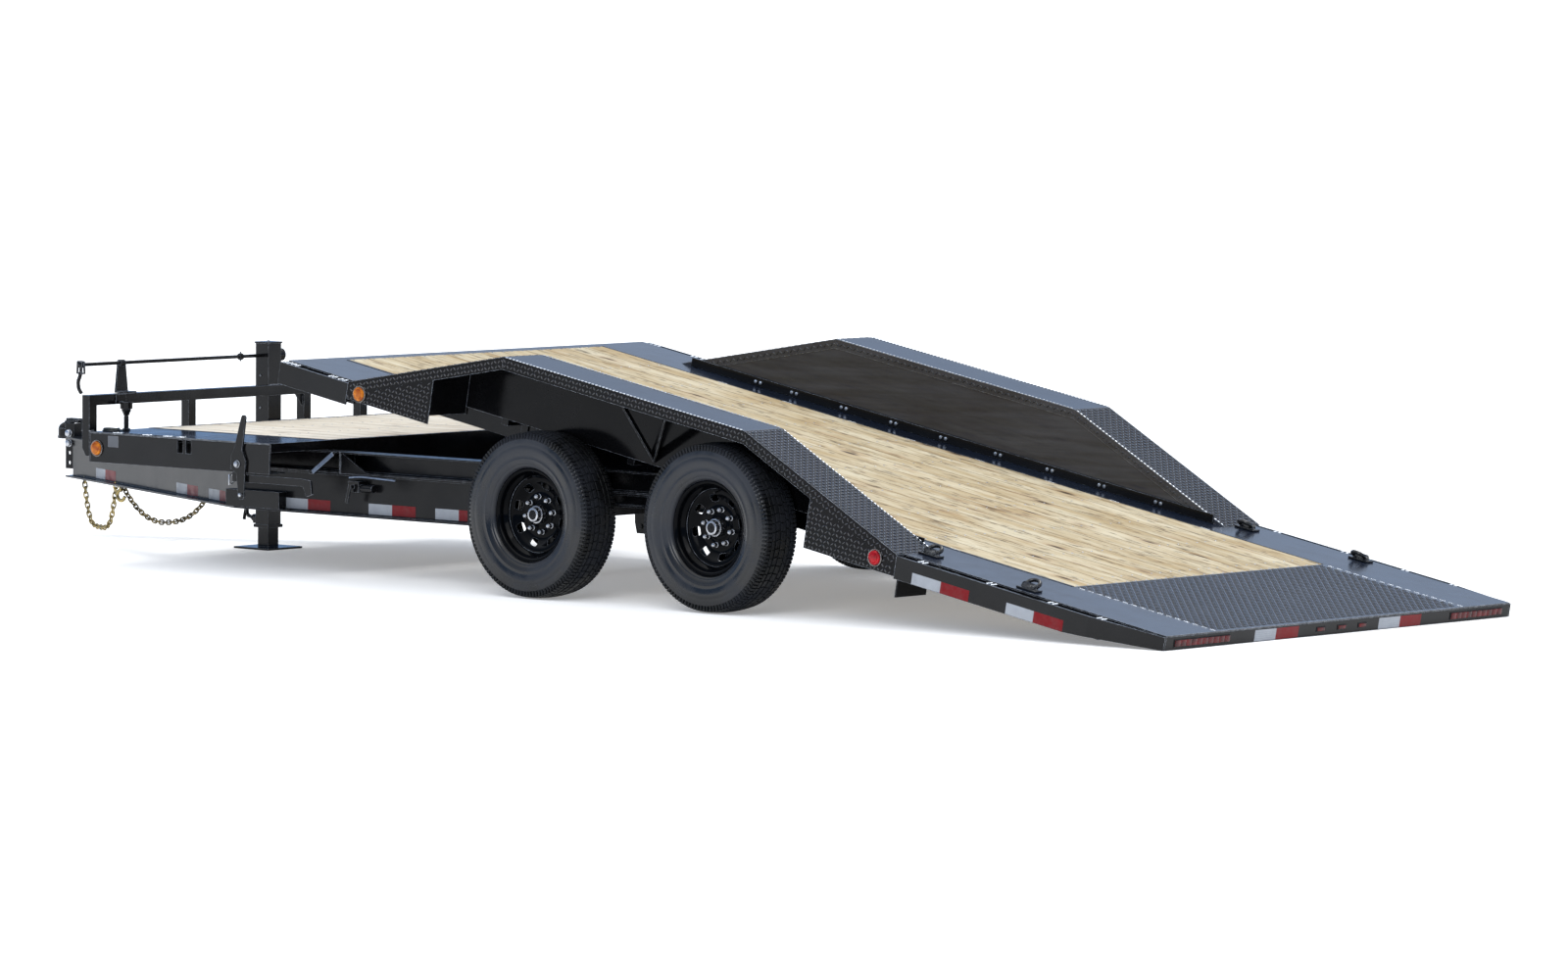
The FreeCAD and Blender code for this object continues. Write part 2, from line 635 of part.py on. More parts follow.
def wheels():
    """Four tyres on steel wheels, with hubs and lug nuts."""
    half = tyre_width / 2
    seat = rim_half - 4
    # Columns: radius, distance from the wheel's middle plane
    shoulder = ((bead_radius + 1, seat), (flange_radius + 1, seat + 1), (flange_radius + 6, seat + 12),
                (flange_radius + 30, half - 8), (flange_radius + 70, half), (tyre_radius - 62, half - 1),
                (tyre_radius - 30, half - 8), (tyre_radius - 12, half - 17), (tyre_radius - 3, half - 32),
                (tyre_radius, half - 55))
    inside = ((bead_radius + 1, seat - 16), (flange_radius + 4, seat - 12), (flange_radius + 40, half - 22),
              (tyre_radius - 50, half - 18), (tyre_radius - 22, half - 36))
    tyre_section = list(shoulder) + [(r, -y) for r, y in reversed(shoulder)]
    tyre_section += [(r, -y) for r, y in inside] + [(r, y) for r, y in reversed(inside)]
    rim_out = ((flange_radius, rim_half), (flange_radius, seat + 1), (bead_radius, seat), (bead_radius, seat - 24),
               (well_radius, seat - 38))
    rim_in = ((well_radius - 6, seat - 42), (bead_radius - 6, seat - 26), (bead_radius - 6, seat + 2),
              (flange_radius - 7, rim_half))
    rim_section = list(rim_out) + [(r, -y) for r, y in reversed(rim_out)]
    rim_section += [(r, -y) for r, y in reversed(rim_in)] + list(rim_in)
    disc = ((well_radius - 3, disc_y + 26), (160, disc_y + 26), (142, disc_y + 20), (118, disc_y), (hub_radius - 2, disc_y))
    disc_section = list(disc) + [(r, y - disc_t) for r, y in reversed(disc)]
    for side, sign in (("left", 1), ("right", -1)):
        for place, x in (("front", front_axle_x), ("rear", rear_axle_x)):
            add("tyre_%s_%s" % (place, side), spun(tyre_section, x, sign))
            add("wheel_%s_%s" % (place, side), steel_wheel(rim_section, disc_section, x, sign))


def spun(section, x, sign):
    """A ring spun about a wheel's axis from radius and offset pairs."""
    centre = V(x, 0, axle_z)
    points = [V(x, sign * (wheel_y + y), axle_z + r) for r, y in section]
    face = Part.Face(Part.makePolygon(points + [points[0]]))
    return face.revolve(centre, Y_AXIS, 360)


def steel_wheel(rim_section, disc_section, x, sign):
    """Rim, slotted disc, hub with its cap, and lug nuts."""

    def out(offset):
        return V(x, sign * (wheel_y + offset), axle_z)

    disc = spun(disc_section, x, sign)
    for i in range(slot_count):
        turn = math.radians(360 / slot_count * (i + 0.5))
        radial = V(math.cos(turn), 0, math.sin(turn))
        across = V(-math.sin(turn), 0, math.cos(turn))
        corners = []
        for r, c in ((slot_circle - 15, 9), (slot_circle - 15, -9), (slot_circle - 7, -17), (slot_circle + 9, -17),
                     (slot_circle + 14, -9), (slot_circle + 14, 9), (slot_circle + 9, 17), (slot_circle - 7, 17)):
            corners.append(out(-40) + radial * r + across * c)
        disc = disc.cut(prism(corners, V(0, sign * 100, 0)))
    hub = rod(out(-46), out(disc_y + 38), hub_radius)
    cap = rod(out(disc_y + 38), out(disc_y + 62), hub_radius - 8)
    plug = rod(out(disc_y + 62), out(disc_y + 68), hub_radius - 22)
    wheel = spun(rim_section, x, sign).multiFuse([disc, hub, cap, plug])
    nuts = []
    for i in range(lug_count):
        turn = math.radians(360 / lug_count * i)
        foot = out(disc_y - 1) + V(lug_circle * math.cos(turn), 0, lug_circle * math.sin(turn))
        corners = [foot + V(nut_radius * math.cos(math.radians(60 * k)), 0, nut_radius * math.sin(math.radians(60 * k)))
                   for k in range(6)]
        nuts.append(prism(corners, V(0, sign * 21, 0)))
        nuts.append(rod(foot, foot + V(0, sign * 28, 0), 7))
    bore = rod(out(-60), out(30 + 10), spindle_radius + running_gap)
    return wheel.multiFuse(nuts).cut(bore)


def axles():
    """Torsion axles: square tube, arms, spindles and brake drums."""
    tube_half = torsion_tube / 2
    for name, x in (("axle_front", front_axle_x), ("axle_rear", rear_axle_x)):
        tube_x = x + torsion_arm
        tube = box(tube_x - tube_half, tube_x + tube_half, -arm_y, arm_y, axle_z - tube_half, axle_z + tube_half)
        inside = tube_half - torsion_wall
        tube = tube.cut(box(tube_x - inside, tube_x + inside, -arm_y - 1, arm_y + 1, axle_z - inside, axle_z + inside))
        arm = box(x, tube_x + tube_half, arm_y, arm_y + arm_t, axle_z - arm_half, axle_z + arm_half)
        arm = arm.fuse(rod(V(x, arm_y, axle_z), V(x, arm_y + arm_t, axle_z), arm_half + 14))
        drum = rod(V(x, drum_y, axle_z), V(x, drum_y + drum_width, axle_z), drum_radius)
        drum = drum.cut(rod(V(x, drum_y + 6, axle_z), V(x, drum_y + drum_width - 10, axle_z), drum_radius - 14))
        spindle = rod(V(x, arm_y, axle_z), V(x, wheel_y + 30, axle_z), spindle_radius)
        pieces = [tube]
        for piece in (arm, drum, spindle):
            pieces += both(piece)
        add(name, pieces)


def tilt_frame():
    """The tilt deck's rails, crossmembers and the knees that carry its side plates."""
    x0, x1 = tilt_tail_x, tilt_front_x
    outer = board_half_width
    inner = outer - tilt_rail_width
    rail = channel_along_x(x0 + bumper_depth + seat_gap, x1 - face_t - seat_gap, outer, inner, tilt_rail_bottom,
                           board_bottom, tilt_rail_wall)
    tail_block = channel_along_x(x0 + bumper_depth + seat_gap, tail_plate_front_x, outer, inner, board_bottom,
                                 tilt_rail_top - seat_gap, tilt_rail_wall)
    boss = rod(V(pivot_x, inner, pivot_z), V(pivot_x, outer, pivot_z), 42)
    rail = rail.multiFuse([tail_block, boss]).removeSplitter()
    rail = rail.cut(side_prism([(taper_start_x, tilt_rail_bottom - 1), (x0 - 10, tilt_rail_bottom - 1),
                                (x0 - 10, tail_bottom), (taper_start_x, tilt_rail_bottom)], inner - 10, outer + 10))
    rail = rail.cut(rod(V(pivot_x, 0, pivot_z), V(pivot_x, half_width, pivot_z), pivot_pin_radius + running_gap))
    add_apart("tilt_rails", both(rail), True)

    end = inner - seat_gap
    members = []
    x = x1 - face_t - seat_gap
    while x > x0 + 400:
        tail = x < tail_plate_front_x
        behind = x < ramp_rear_foot_x - 20
        ahead = x - member_width > ramp_front_foot_x + 10
        low = crossmember_bottom + (40 if tail else 0)
        high = tilt_rail_top - seat_gap if tail else board_bottom
        if abs(x - member_width / 2 - cylinder_eye[0]) > 100:
            members.append(channel_along_y(-end, end, x, x - member_width, low, high, 6))
        reach = plate_outer - channel_wall - seat_gap if behind or ahead else fender_inner_y - seat_gap
        top = tilt_rail_top - seat_gap
        if behind:
            knee = box(x - member_width, x, outer + seat_gap, reach, outer_bar_bottom + 20, top)
        else:
            knee = box(x - member_width, x, outer + seat_gap, outer + knee_t, 560, top)
            knee = knee.fuse(box(x - member_width, x, outer + seat_gap, reach, knee_bottom, top))
        members += both(knee)
        x -= member_pitch
    members.append(cylinder_lugs(end))

    in_y, mid_y, out_y = fender_inner_y + 18, plate_outer - channel_wall - 2, half_width - 25
    top_z = outer_bar_bottom - seat_gap * 2
    skid = end_prism([(in_y, top_z + 70), (mid_y, top_z + 70), (mid_y, top_z), (out_y, top_z), (out_y, skid_bottom),
                      (in_y, skid_bottom)],
                     ramp_rear_foot_x - seat_gap - 6, ramp_rear_foot_x - seat_gap)
    add("tilt_crossmembers", members + both(skid), True)


def cylinder_lugs(end):
    """Crossmember with two lugs and the pin for the cushion cylinder's eye."""
    x, z = cylinder_eye
    beam = channel_along_y(-end, end, x + 40, x + 75, crossmember_bottom, board_bottom, 6)
    pin = rod(V(x, -eye_gap - ear_t, z), V(x, eye_gap + ear_t, z), eye_pin)
    lugs = [box(x - 24, x + 42, y, y + ear_t, z - 20, board_bottom) for y in (eye_gap, -eye_gap - ear_t)]
    return beam.multiFuse([pin] + lugs).removeSplitter()


def tilt_floor():
    """Boards, side plates, front face, tail plate and rear bumper."""
    x0, x1 = tilt_tail_x, tilt_front_x
    add_apart("tilt_deck_boards", [tilt(plank) for plank in boards(tail_plate_front_x + 2, front_strip_rear_x - 2)])

    plates = []
    for a, b, outer in ((x0, ramp_rear_foot_x, plate_outer), (ramp_rear_foot_x, ramp_front_foot_x, fender_inner_y),
                        (ramp_front_foot_x, x1, plate_outer)):
        plates += both(box(a + seat_gap / 2, b - seat_gap / 2, board_half_width + 2, outer, tilt_rail_top, deck_top))
    side = board_half_width + 2 - seat_gap
    strip = box(front_strip_rear_x, x1, -side, side, tilt_rail_top, deck_top)
    top = tilt_rail_top - seat_gap
    half_outline = [(plate_outer, top), (plate_outer, outer_bar_bottom + 6), (rail_outer + 6, outer_bar_bottom + 6),
                    (rail_outer + 6, knee_bottom), (board_half_width + knee_t, knee_bottom),
                    (board_half_width + knee_t, tilt_rail_bottom)]
    outline = half_outline + [(-y, z) for y, z in reversed(half_outline)]
    front_face = end_prism(outline, x1 - face_t, x1)
    add_apart("deck_plates", plates + [strip, front_face], True)

    tail = box(x0, tail_plate_front_x, -board_half_width, board_half_width, tilt_rail_top, deck_top)
    add("tail_plate", tail, True)
    bumper = box(x0 - 1, x0 + bumper_depth, -plate_outer, plate_outer, tail_bottom, tilt_rail_top - seat_gap)
    hollow = box(x0 + 6, x0 + bumper_depth + 1, -plate_outer + 8, plate_outer - 8, tail_bottom + 7,
                 tilt_rail_top - seat_gap - 7)
    add("rear_bumper", bumper.cut(hollow), True)


def slope_z(x):
    """Height of the fender's top line at a place along it, on either ramp."""
    if x > fender_front_x:
        return fender_top - fender_rise * (x - fender_front_x) / (ramp_front_foot_x - fender_front_x)
    return fender_top - fender_rise * (fender_rear_x - x) / (fender_rear_x - ramp_rear_foot_x)


def band(y0, y1, top, depth):
    """Three sloped bands that follow the fender's top line, from a drop below it down by a depth."""
    line = [(ramp_rear_foot_x, deck_top), (fender_rear_x, fender_top), (fender_front_x, fender_top),
            (ramp_front_foot_x, deck_top)]
    pieces = []
    for a, b in zip(line, line[1:]):
        outline = [(a[0], a[1] - top), (b[0], b[1] - top), (b[0], b[1] - top - depth), (a[0], a[1] - top - depth)]
        pieces.append(side_prism(outline, y0, y1))
    return pieces


def fender():
    """Left drive-over fender: ramps and flat top, lips, skirts, end plates and inner wall, all plain sheets."""
    pieces = band(fender_inner_y, half_width, 0, sheet)
    pieces += band(half_width - sheet, half_width, sheet, lip_height - sheet)
    above_deck = box(-9000, 9000, 0, half_width, deck_top + seat_gap, fender_top)
    pieces += [piece.common(above_deck) for piece in band(fender_inner_y - sheet, fender_inner_y, 0, inner_lip_height)]
    wall = [(ramp_rear_foot_x, deck_top - sheet), (fender_rear_x, fender_top - sheet), (fender_front_x, fender_top - sheet),
            (ramp_front_foot_x, deck_top - sheet), (ramp_front_foot_x, tilt_rail_top), (ramp_rear_foot_x, tilt_rail_top)]
    pieces.append(side_prism(wall, fender_inner_y, fender_inner_y + sheet))

    # Columns: foot of the ramp, free edge of the skirt, bottom of the skirt
    skirts = ((ramp_front_foot_x, skirt_front_rear_x, skirt_front_bottom),
              (ramp_rear_foot_x, skirt_rear_front_x, skirt_rear_bottom))
    for foot_x, edge_x, bottom in skirts:
        inward = 1 if edge_x > foot_x else -1
        outline = [(foot_x, slope_z(foot_x) - lip_height), (edge_x, slope_z(edge_x) - lip_height), (edge_x, bottom),
                   (foot_x, bottom)]
        pieces.append(side_prism(outline, half_width - sheet, half_width))
        pieces.append(box(foot_x, foot_x + inward * sheet, fender_inner_y, half_width - sheet - seat_gap, bottom,
                          tilt_rail_top - seat_gap))
        pieces.append(box(edge_x, edge_x - inward * sheet, fender_inner_y + sheet + seat_gap, half_width - sheet - seat_gap,
                          deck_top - 40, slope_z(edge_x) - sheet - 3))
    return pieces


def fender_brace():
    """A V of flat bars from the tilt rail up to the fender's lip."""
    foot = V(-8, fender_inner_y, 660)
    bars = []
    for x in (80, -250):
        head = V(x, half_width - 20, fender_top - sheet)
        run = head - foot
        bar = box(0, run.Length, -20, 20, -4, 4)
        turn = FreeCAD.Rotation(X_AXIS, run)
        bar.Placement = FreeCAD.Placement(foot, turn)
        bars.append(bar)
    keep = box(-400, 400, fender_inner_y + sheet + seat_gap, half_width - sheet - seat_gap, 0,
               fender_top - sheet - seat_gap)
    return bars[0].fuse(bars[1]).common(keep)


def side_bars():
    """Outer bars on the left side, held off the side plates by spacer blocks."""
    x0, x1 = tilt_tail_x, tilt_front_x
    inner = half_width - edge_bar_t
    bend_x = x0 + 400
    rear_plan = [(ramp_rear_foot_x - seat_gap, inner), (ramp_rear_foot_x - seat_gap, half_width),
                 (bend_x, half_width), (x0, plate_outer + edge_bar_t), (x0, plate_outer), (bend_x, inner)]
    rear = plan_prism(rear_plan, outer_bar_bottom, outer_bar_top)
    taper = side_prism([(taper_start_x, outer_bar_bottom - 1), (x0 - 5, outer_bar_bottom - 1), (x0 - 5, tail_bottom),
                        (taper_start_x, outer_bar_bottom)], 0, half_width + 5)
    rear = rear.cut(taper)
    front = box(ramp_front_foot_x + seat_gap, x1, inner, half_width, outer_bar_bottom, outer_bar_top)
    channel_rear = box(x0 + bumper_depth + seat_gap, ramp_rear_foot_x - 8, plate_outer - channel_wall, plate_outer,
                       outer_bar_bottom, tilt_rail_top - seat_gap).cut(taper)
    channel_front = box(ramp_front_foot_x + seat_gap, x1 - face_t - seat_gap, plate_outer - channel_wall, plate_outer,
                        outer_bar_bottom, tilt_rail_top - seat_gap)
    spacers = []
    for x in (-2900.0, -2660.0, -2250.0, -1860.0, 1760.0, 1960.0, 2150.0):
        spacers.append(box(x - 15, x + 15, plate_outer, inner, outer_bar_bottom + 12, outer_bar_top - 14))
    return [rear, front, channel_rear, channel_front] + spacers


def round_lamp(x, z):
    """Round side lamp: a bezel with a domed lens."""
    bezel = rod(V(x, half_width, z), V(x, half_width + 7, z), lamp_radius)
    dome = Part.makeSphere(80, V(x, half_width + 18 - 80, z))
    dome = dome.common(rod(V(x, half_width, z), V(x, half_width + 30, z), lamp_radius - 8))
    return bezel.fuse(dome)


def tilt_fittings():
    """Lamps, tie-down rings and skids on the tilt deck."""
    braces = fender_brace()
    add_apart("fender_braces", [tilt(brace) for brace in both(braces)])
    for name, turn in (("left", False), ("right", True)):
        parts = fender()
        bars = side_bars()
        if turn:
            parts = [mirrored(p) for p in parts]
            bars = [mirrored(p) for p in bars]
        add_apart("fender_" + name, parts, True)
        add("rub_rails_" + name, bars, True)

    rings = []
    for x, y in ring_places:
        base = box(x - 52, x + 52, y - 24, y + 24, deck_top + seat_gap, deck_top + 8)
        clip = rod(V(x - 26, y, deck_top + 14), V(x + 26, y, deck_top + 14), 15)
        clip = clip.common(box(x - 60, x + 60, y - 40, y + 40, deck_top + seat_gap, deck_top + 60))
        ring = Part.makeTorus(31, 6.5, V(x, y - 20, deck_top + 24), V(0, 0.5, 1))
        ring = ring.common(box(x - 60, x + 60, y - 60, y + 90, deck_top + 8, deck_top + 80))
        rings += both(base.multiFuse([clip, ring]))
    add("tie_down_rings", rings, True)

    markers = []
    for x, z in ((1650.0, 600.0), (-1610.0, 597.0)):
        markers += both(round_lamp(x, z))
    add("fender_markers", markers, True)

    lamps = []
    tail_face = tilt_tail_x - 1
    mid = (tail_bottom + tilt_rail_top) / 2
    for y0, y1 in ((800.0, 1180.0), (-1180.0, -800.0)):
        lamps.append(box(tail_face - 6, tail_face, y0, y1, mid - 16, mid + 16))
    for y in (-150.0, 0.0, 150.0):
        lamps.append(box(tail_face - 5, tail_face, y - 30, y + 30, mid - 10, mid + 10))
    add("tail_lamps", lamps, True)


def latch():
    """Hold-down lever on the fixed deck's left side, its link, hook and strap, and the cushion valve."""
    face = half_width
    x0, z0 = lever_x, lever_z
    # Columns: X and Z of the lever's outline from its pivot bolt
    shape = ((-54, 224), (-46, 235), (-32, 235), (-24, 224), (23, 69), (41, 42), (47, -21), (6, -47), (-4, -155),
             (-14, -168), (-34, -168), (-44, -155), (-48, -56), (-54, 15), (-30, 69))
    lever = side_prism([(x0 + dx, z0 + dz) for dx, dz in shape], face + 3, face + 12)
    bolts = [rod(V(x0, face + seat_gap, z0), V(x0, face + 17, z0), 15),
             rod(V(x0 - 24, face + 3, z0 - 146), V(x0 - 24, face + 16, z0 - 146), 9)]
    add("latch_lever", lever.multiFuse(bolts))

    low = deck_top - side_height
    inner, outer = face - 16, face - 4
    link = box(x0 - 422, x0 + 48, inner, outer, low - 46, low - 10)
    hook = side_prism([(x0 - 482, low - 82), (x0 - 446, low - 94), (x0 - 422, low - 46), (x0 - 422, low - 10),
                       (x0 - 472, low - 16)], inner, outer)
    hanger = box(x0 + 8, x0 + 48, face - 8, face - 1, low - 46, low - seat_gap)
    case = box(x0 + 16, x0 + 376, rail_y + rail_web / 2 + seat_gap, rail_outer + 3, rail_bottom + rail_flange_t + 1,
               rail_bottom + 92)
    end = front_deck_rear_x
    strap = side_prism([(end, rail_top - 11), (end + 22, rail_top - 11), (end - 140, riser_top - 1),
                        (end - 162, riser_top - 1)], rail_outer + seat_gap, rail_outer + 8)
    add("latch_linkage", [link.multiFuse([hook, hanger]), case, strap])

    web = rail_y + rail_web / 2 + seat_gap
    x, z = valve_x, rail_top - 59
    block = box(x - 34, x + 34, web, rail_outer - 2, z - 26, z + 26)
    body = rod(V(x - 114, rail_y + 26, z - 8), V(x + 46, rail_y + 26, z - 8), 19)
    stem = rod(V(x, rail_outer - 10, z), V(x, rail_outer + 22, z), 8)
    handle = side_prism([(x - 8, z + 10), (x + 8, z + 10), (x + 32, z - 74), (x + 16, z - 78)], rail_outer + 14,
                        rail_outer + 22)
    add("cushion_valve", [block, body, stem, handle])


def markers():
    """Amber markers at the fixed deck's front corners."""
    add("front_markers", both(round_lamp(front_deck_front_x - 55, 562.0)))


def cylinder():
    """Cushion cylinder between the fixed frame and the tilt deck."""
    base = V(cylinder_foot[0], 0, cylinder_foot[1])
    eye = tilt(Part.Vertex(cylinder_eye[0], 0, cylinder_eye[1])).Point
    run = (eye - base).normalize()
    side = Y_AXIS * (eye_gap - 2)
    barrel = rod(base + run * 16, base + run * barrel_length, barrel_radius)
    barrel = barrel.fuse(rod(base - side, base + side, eye_radius))
    barrel = barrel.cut(rod(base - side * 2, base + side * 2, eye_pin + running_gap))
    barrel = barrel.cut(rod(base + run * 42, base + run * (barrel_length + 5), rod_radius + running_gap))
    add("cylinder_barrel", barrel)

    level_length = math.hypot(cylinder_eye[0] - base.x, cylinder_eye[1] - base.z)
    piston_rod = rod(eye - run * (level_length - 46), eye - run * 14, rod_radius)
    piston_rod = piston_rod.fuse(rod(eye - side, eye + side, eye_radius))
    piston_rod = piston_rod.cut(rod(eye - side * 2, eye + side * 2, eye_pin + eye_play))
    add("cylinder_rod", piston_rod)


frame()
coupler()
front_deck()
headboard()
plug()
jack()
chains()
wheels()
axles()
tilt_frame()
tilt_floor()
tilt_fittings()
latch()
markers()
cylinder()

rear_end = nodes["tail_lamps"].optimalBoundingBox().XMin
front_end = nodes["coupler"].optimalBoundingBox().XMax
middle_x = (rear_end + front_end) / 2

os.makedirs("parts", exist_ok=True)
for node, shape in nodes.items():
    shape.translate(V(-middle_x, 0, 0))
    shape.exportStep("parts/%s.step" % node)
    print("%-22s solids %2d volume %10.0f valid %s" % (node, len(shape.Solids), shape.Volume, shape.isValid()))
print("middle %.3f" % middle_x)
print(len(nodes), "nodes")
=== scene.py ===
"""Tilt trailer: finishes, fittings, tread, chains, lamps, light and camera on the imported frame."""
import logging
import math
from contextlib import contextmanager
from dataclasses import dataclass
from enum import Enum
from typing import Callable, Iterator, Sequence

import bpy
from mathutils import Matrix, Vector


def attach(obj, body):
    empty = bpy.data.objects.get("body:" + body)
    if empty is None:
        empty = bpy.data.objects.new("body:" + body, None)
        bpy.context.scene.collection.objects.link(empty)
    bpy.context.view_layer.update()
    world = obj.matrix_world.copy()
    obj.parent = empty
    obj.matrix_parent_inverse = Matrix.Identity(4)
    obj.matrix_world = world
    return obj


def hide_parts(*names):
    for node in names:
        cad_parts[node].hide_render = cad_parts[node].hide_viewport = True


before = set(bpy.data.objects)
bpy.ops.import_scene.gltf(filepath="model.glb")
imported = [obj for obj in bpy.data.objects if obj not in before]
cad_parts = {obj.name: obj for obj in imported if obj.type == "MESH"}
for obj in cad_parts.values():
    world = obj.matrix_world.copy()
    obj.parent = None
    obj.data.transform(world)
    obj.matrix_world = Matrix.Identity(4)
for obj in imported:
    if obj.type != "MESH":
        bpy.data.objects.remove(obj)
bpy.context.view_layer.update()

log = logging.getLogger("tilt_trailer")

MM = 0.001
SHIFT = 0.891773
TILT = math.radians(-10.3)
SIDES = (1, -1)
Colour = tuple[float, float, float, float]
Node = bpy.types.Node
Pair = tuple[float, float]
Piece = bpy.types.Object
Places = list[Matrix]
Socket = bpy.types.NodeSocket
Triple = tuple[float, float, float]


def at(x: float, y: float, z: float) -> Vector:
    """Turn a place of the drawing, in millimetres, into a point of the frame.

    Args:
        x: Millimetres ahead of the middle between the axles.
        y: Millimetres to the left of the centreline.
        z: Millimetres above the ground.

    Returns:
        The point in metres.
    """
    return Vector((x * MM - SHIFT, y * MM, z * MM))


def mm(x: float, y: float, z: float) -> Vector:
    """A vector given in millimetres."""
    return Vector((x * MM, y * MM, z * MM))


PIVOT = at(-46, 0, 535)
BED_TURN = Matrix.Translation(PIVOT) @ Matrix.Rotation(TILT, 4, "Y") @ Matrix.Translation(-PIVOT)
LEVEL = Matrix.Identity(4)
TURNS = {"frame": LEVEL, "tilt_bed": BED_TURN}
STAND_UP = Matrix.Rotation(math.pi / 2, 4, "X")
UP = Vector((0, 0, 1))
# X and Y of the tongue rails' tips and bends
TONGUE_TIP = (4850.0, 58.0)
TONGUE_BEND = (2730.0, 958.0)


def tongue_y(x: float) -> float:
    """Distance of the tongue rails from the centreline, at a place along X."""
    share = (x - TONGUE_BEND[0]) / (TONGUE_TIP[0] - TONGUE_BEND[0])
    return TONGUE_BEND[1] + share * (TONGUE_TIP[1] - TONGUE_BEND[1])


def stretch(side: int, near: float, far: float) -> list[float]:
    """Two distances from the centreline as Y on one side, the lower one first."""
    return sorted((side * near, side * far))


def rectangle(x0: float, y0: float, x1: float, y1: float) -> tuple[Pair, ...]:
    """Corners of a rectangle, counter-clockwise."""
    return (x0, y0), (x1, y0), (x1, y1), (x0, y1)


def axes(x: Vector, y: Vector, z: Vector) -> Matrix:
    """Turn that lays the three axes along the given directions."""
    return Matrix((x, y, z)).transposed().to_4x4()


def ring(count: int, radius: float, first: float = 0.0) -> Places:
    """Places evenly round the Y axis at a radius in millimetres; the first one is given in steps from the top."""
    out = Matrix.Translation(mm(0, 0, radius))
    return [Matrix.Rotation(math.tau * (i + first) / count, 4, "Y") @ out for i in range(count)]


def loop(x: float, y: float, z: float, wide: float, high: float, count: int) -> list[Vector]:
    """Points of an upright loop across the trailer, from its middle and its half sizes."""
    turns = [math.tau * i / count for i in range(count)]
    return [at(x, y + wide * math.cos(turn), z + high * math.sin(turn)) for turn in turns]


class Side(Enum):
    """The two sides of the trailer."""

    LEFT = 1
    RIGHT = -1

    @property
    def word(self) -> str:
        """The side's name as the nodes have it."""
        return self.name.lower()

    @property
    def turn(self) -> Matrix:
        """Turn of a fitting that looks outwards, drawn for the left side."""
        return LEVEL if self is Side.LEFT else Matrix.Rotation(math.pi, 4, "Z")


class Slot(Enum):
    """Material slots of the record."""

    BLACK = "black_paint"
    PLATE = "deck_plate"
    WOOD = "deck_wood"
    RUBBER = "tyre_rubber"
    WHEEL = "wheel_paint"
    ZINC = "zinc_chain"
    AMBER = "amber_lens"
    RED = "red_lens"
    STEEL = "bright_steel"
    CABLE = "cable_jacket"


def shade(red: int, green: int, blue: int) -> Colour:
    """Turn an 8-bit screen colour into a linear one, with alpha 1.

    Args:
        red: Red from 0 to 255.
        green: Green from 0 to 255.
        blue: Blue from 0 to 255.

    Returns:
        The linear colour.
    """

    def linear(value: int) -> float:
        """One channel of the colour."""
        part = value / 255
        return part / 12.92 if part <= 0.04045 else ((part + 0.055) / 1.055) ** 2.4

    return linear(red), linear(green), linear(blue), 1.0


# Shader parts


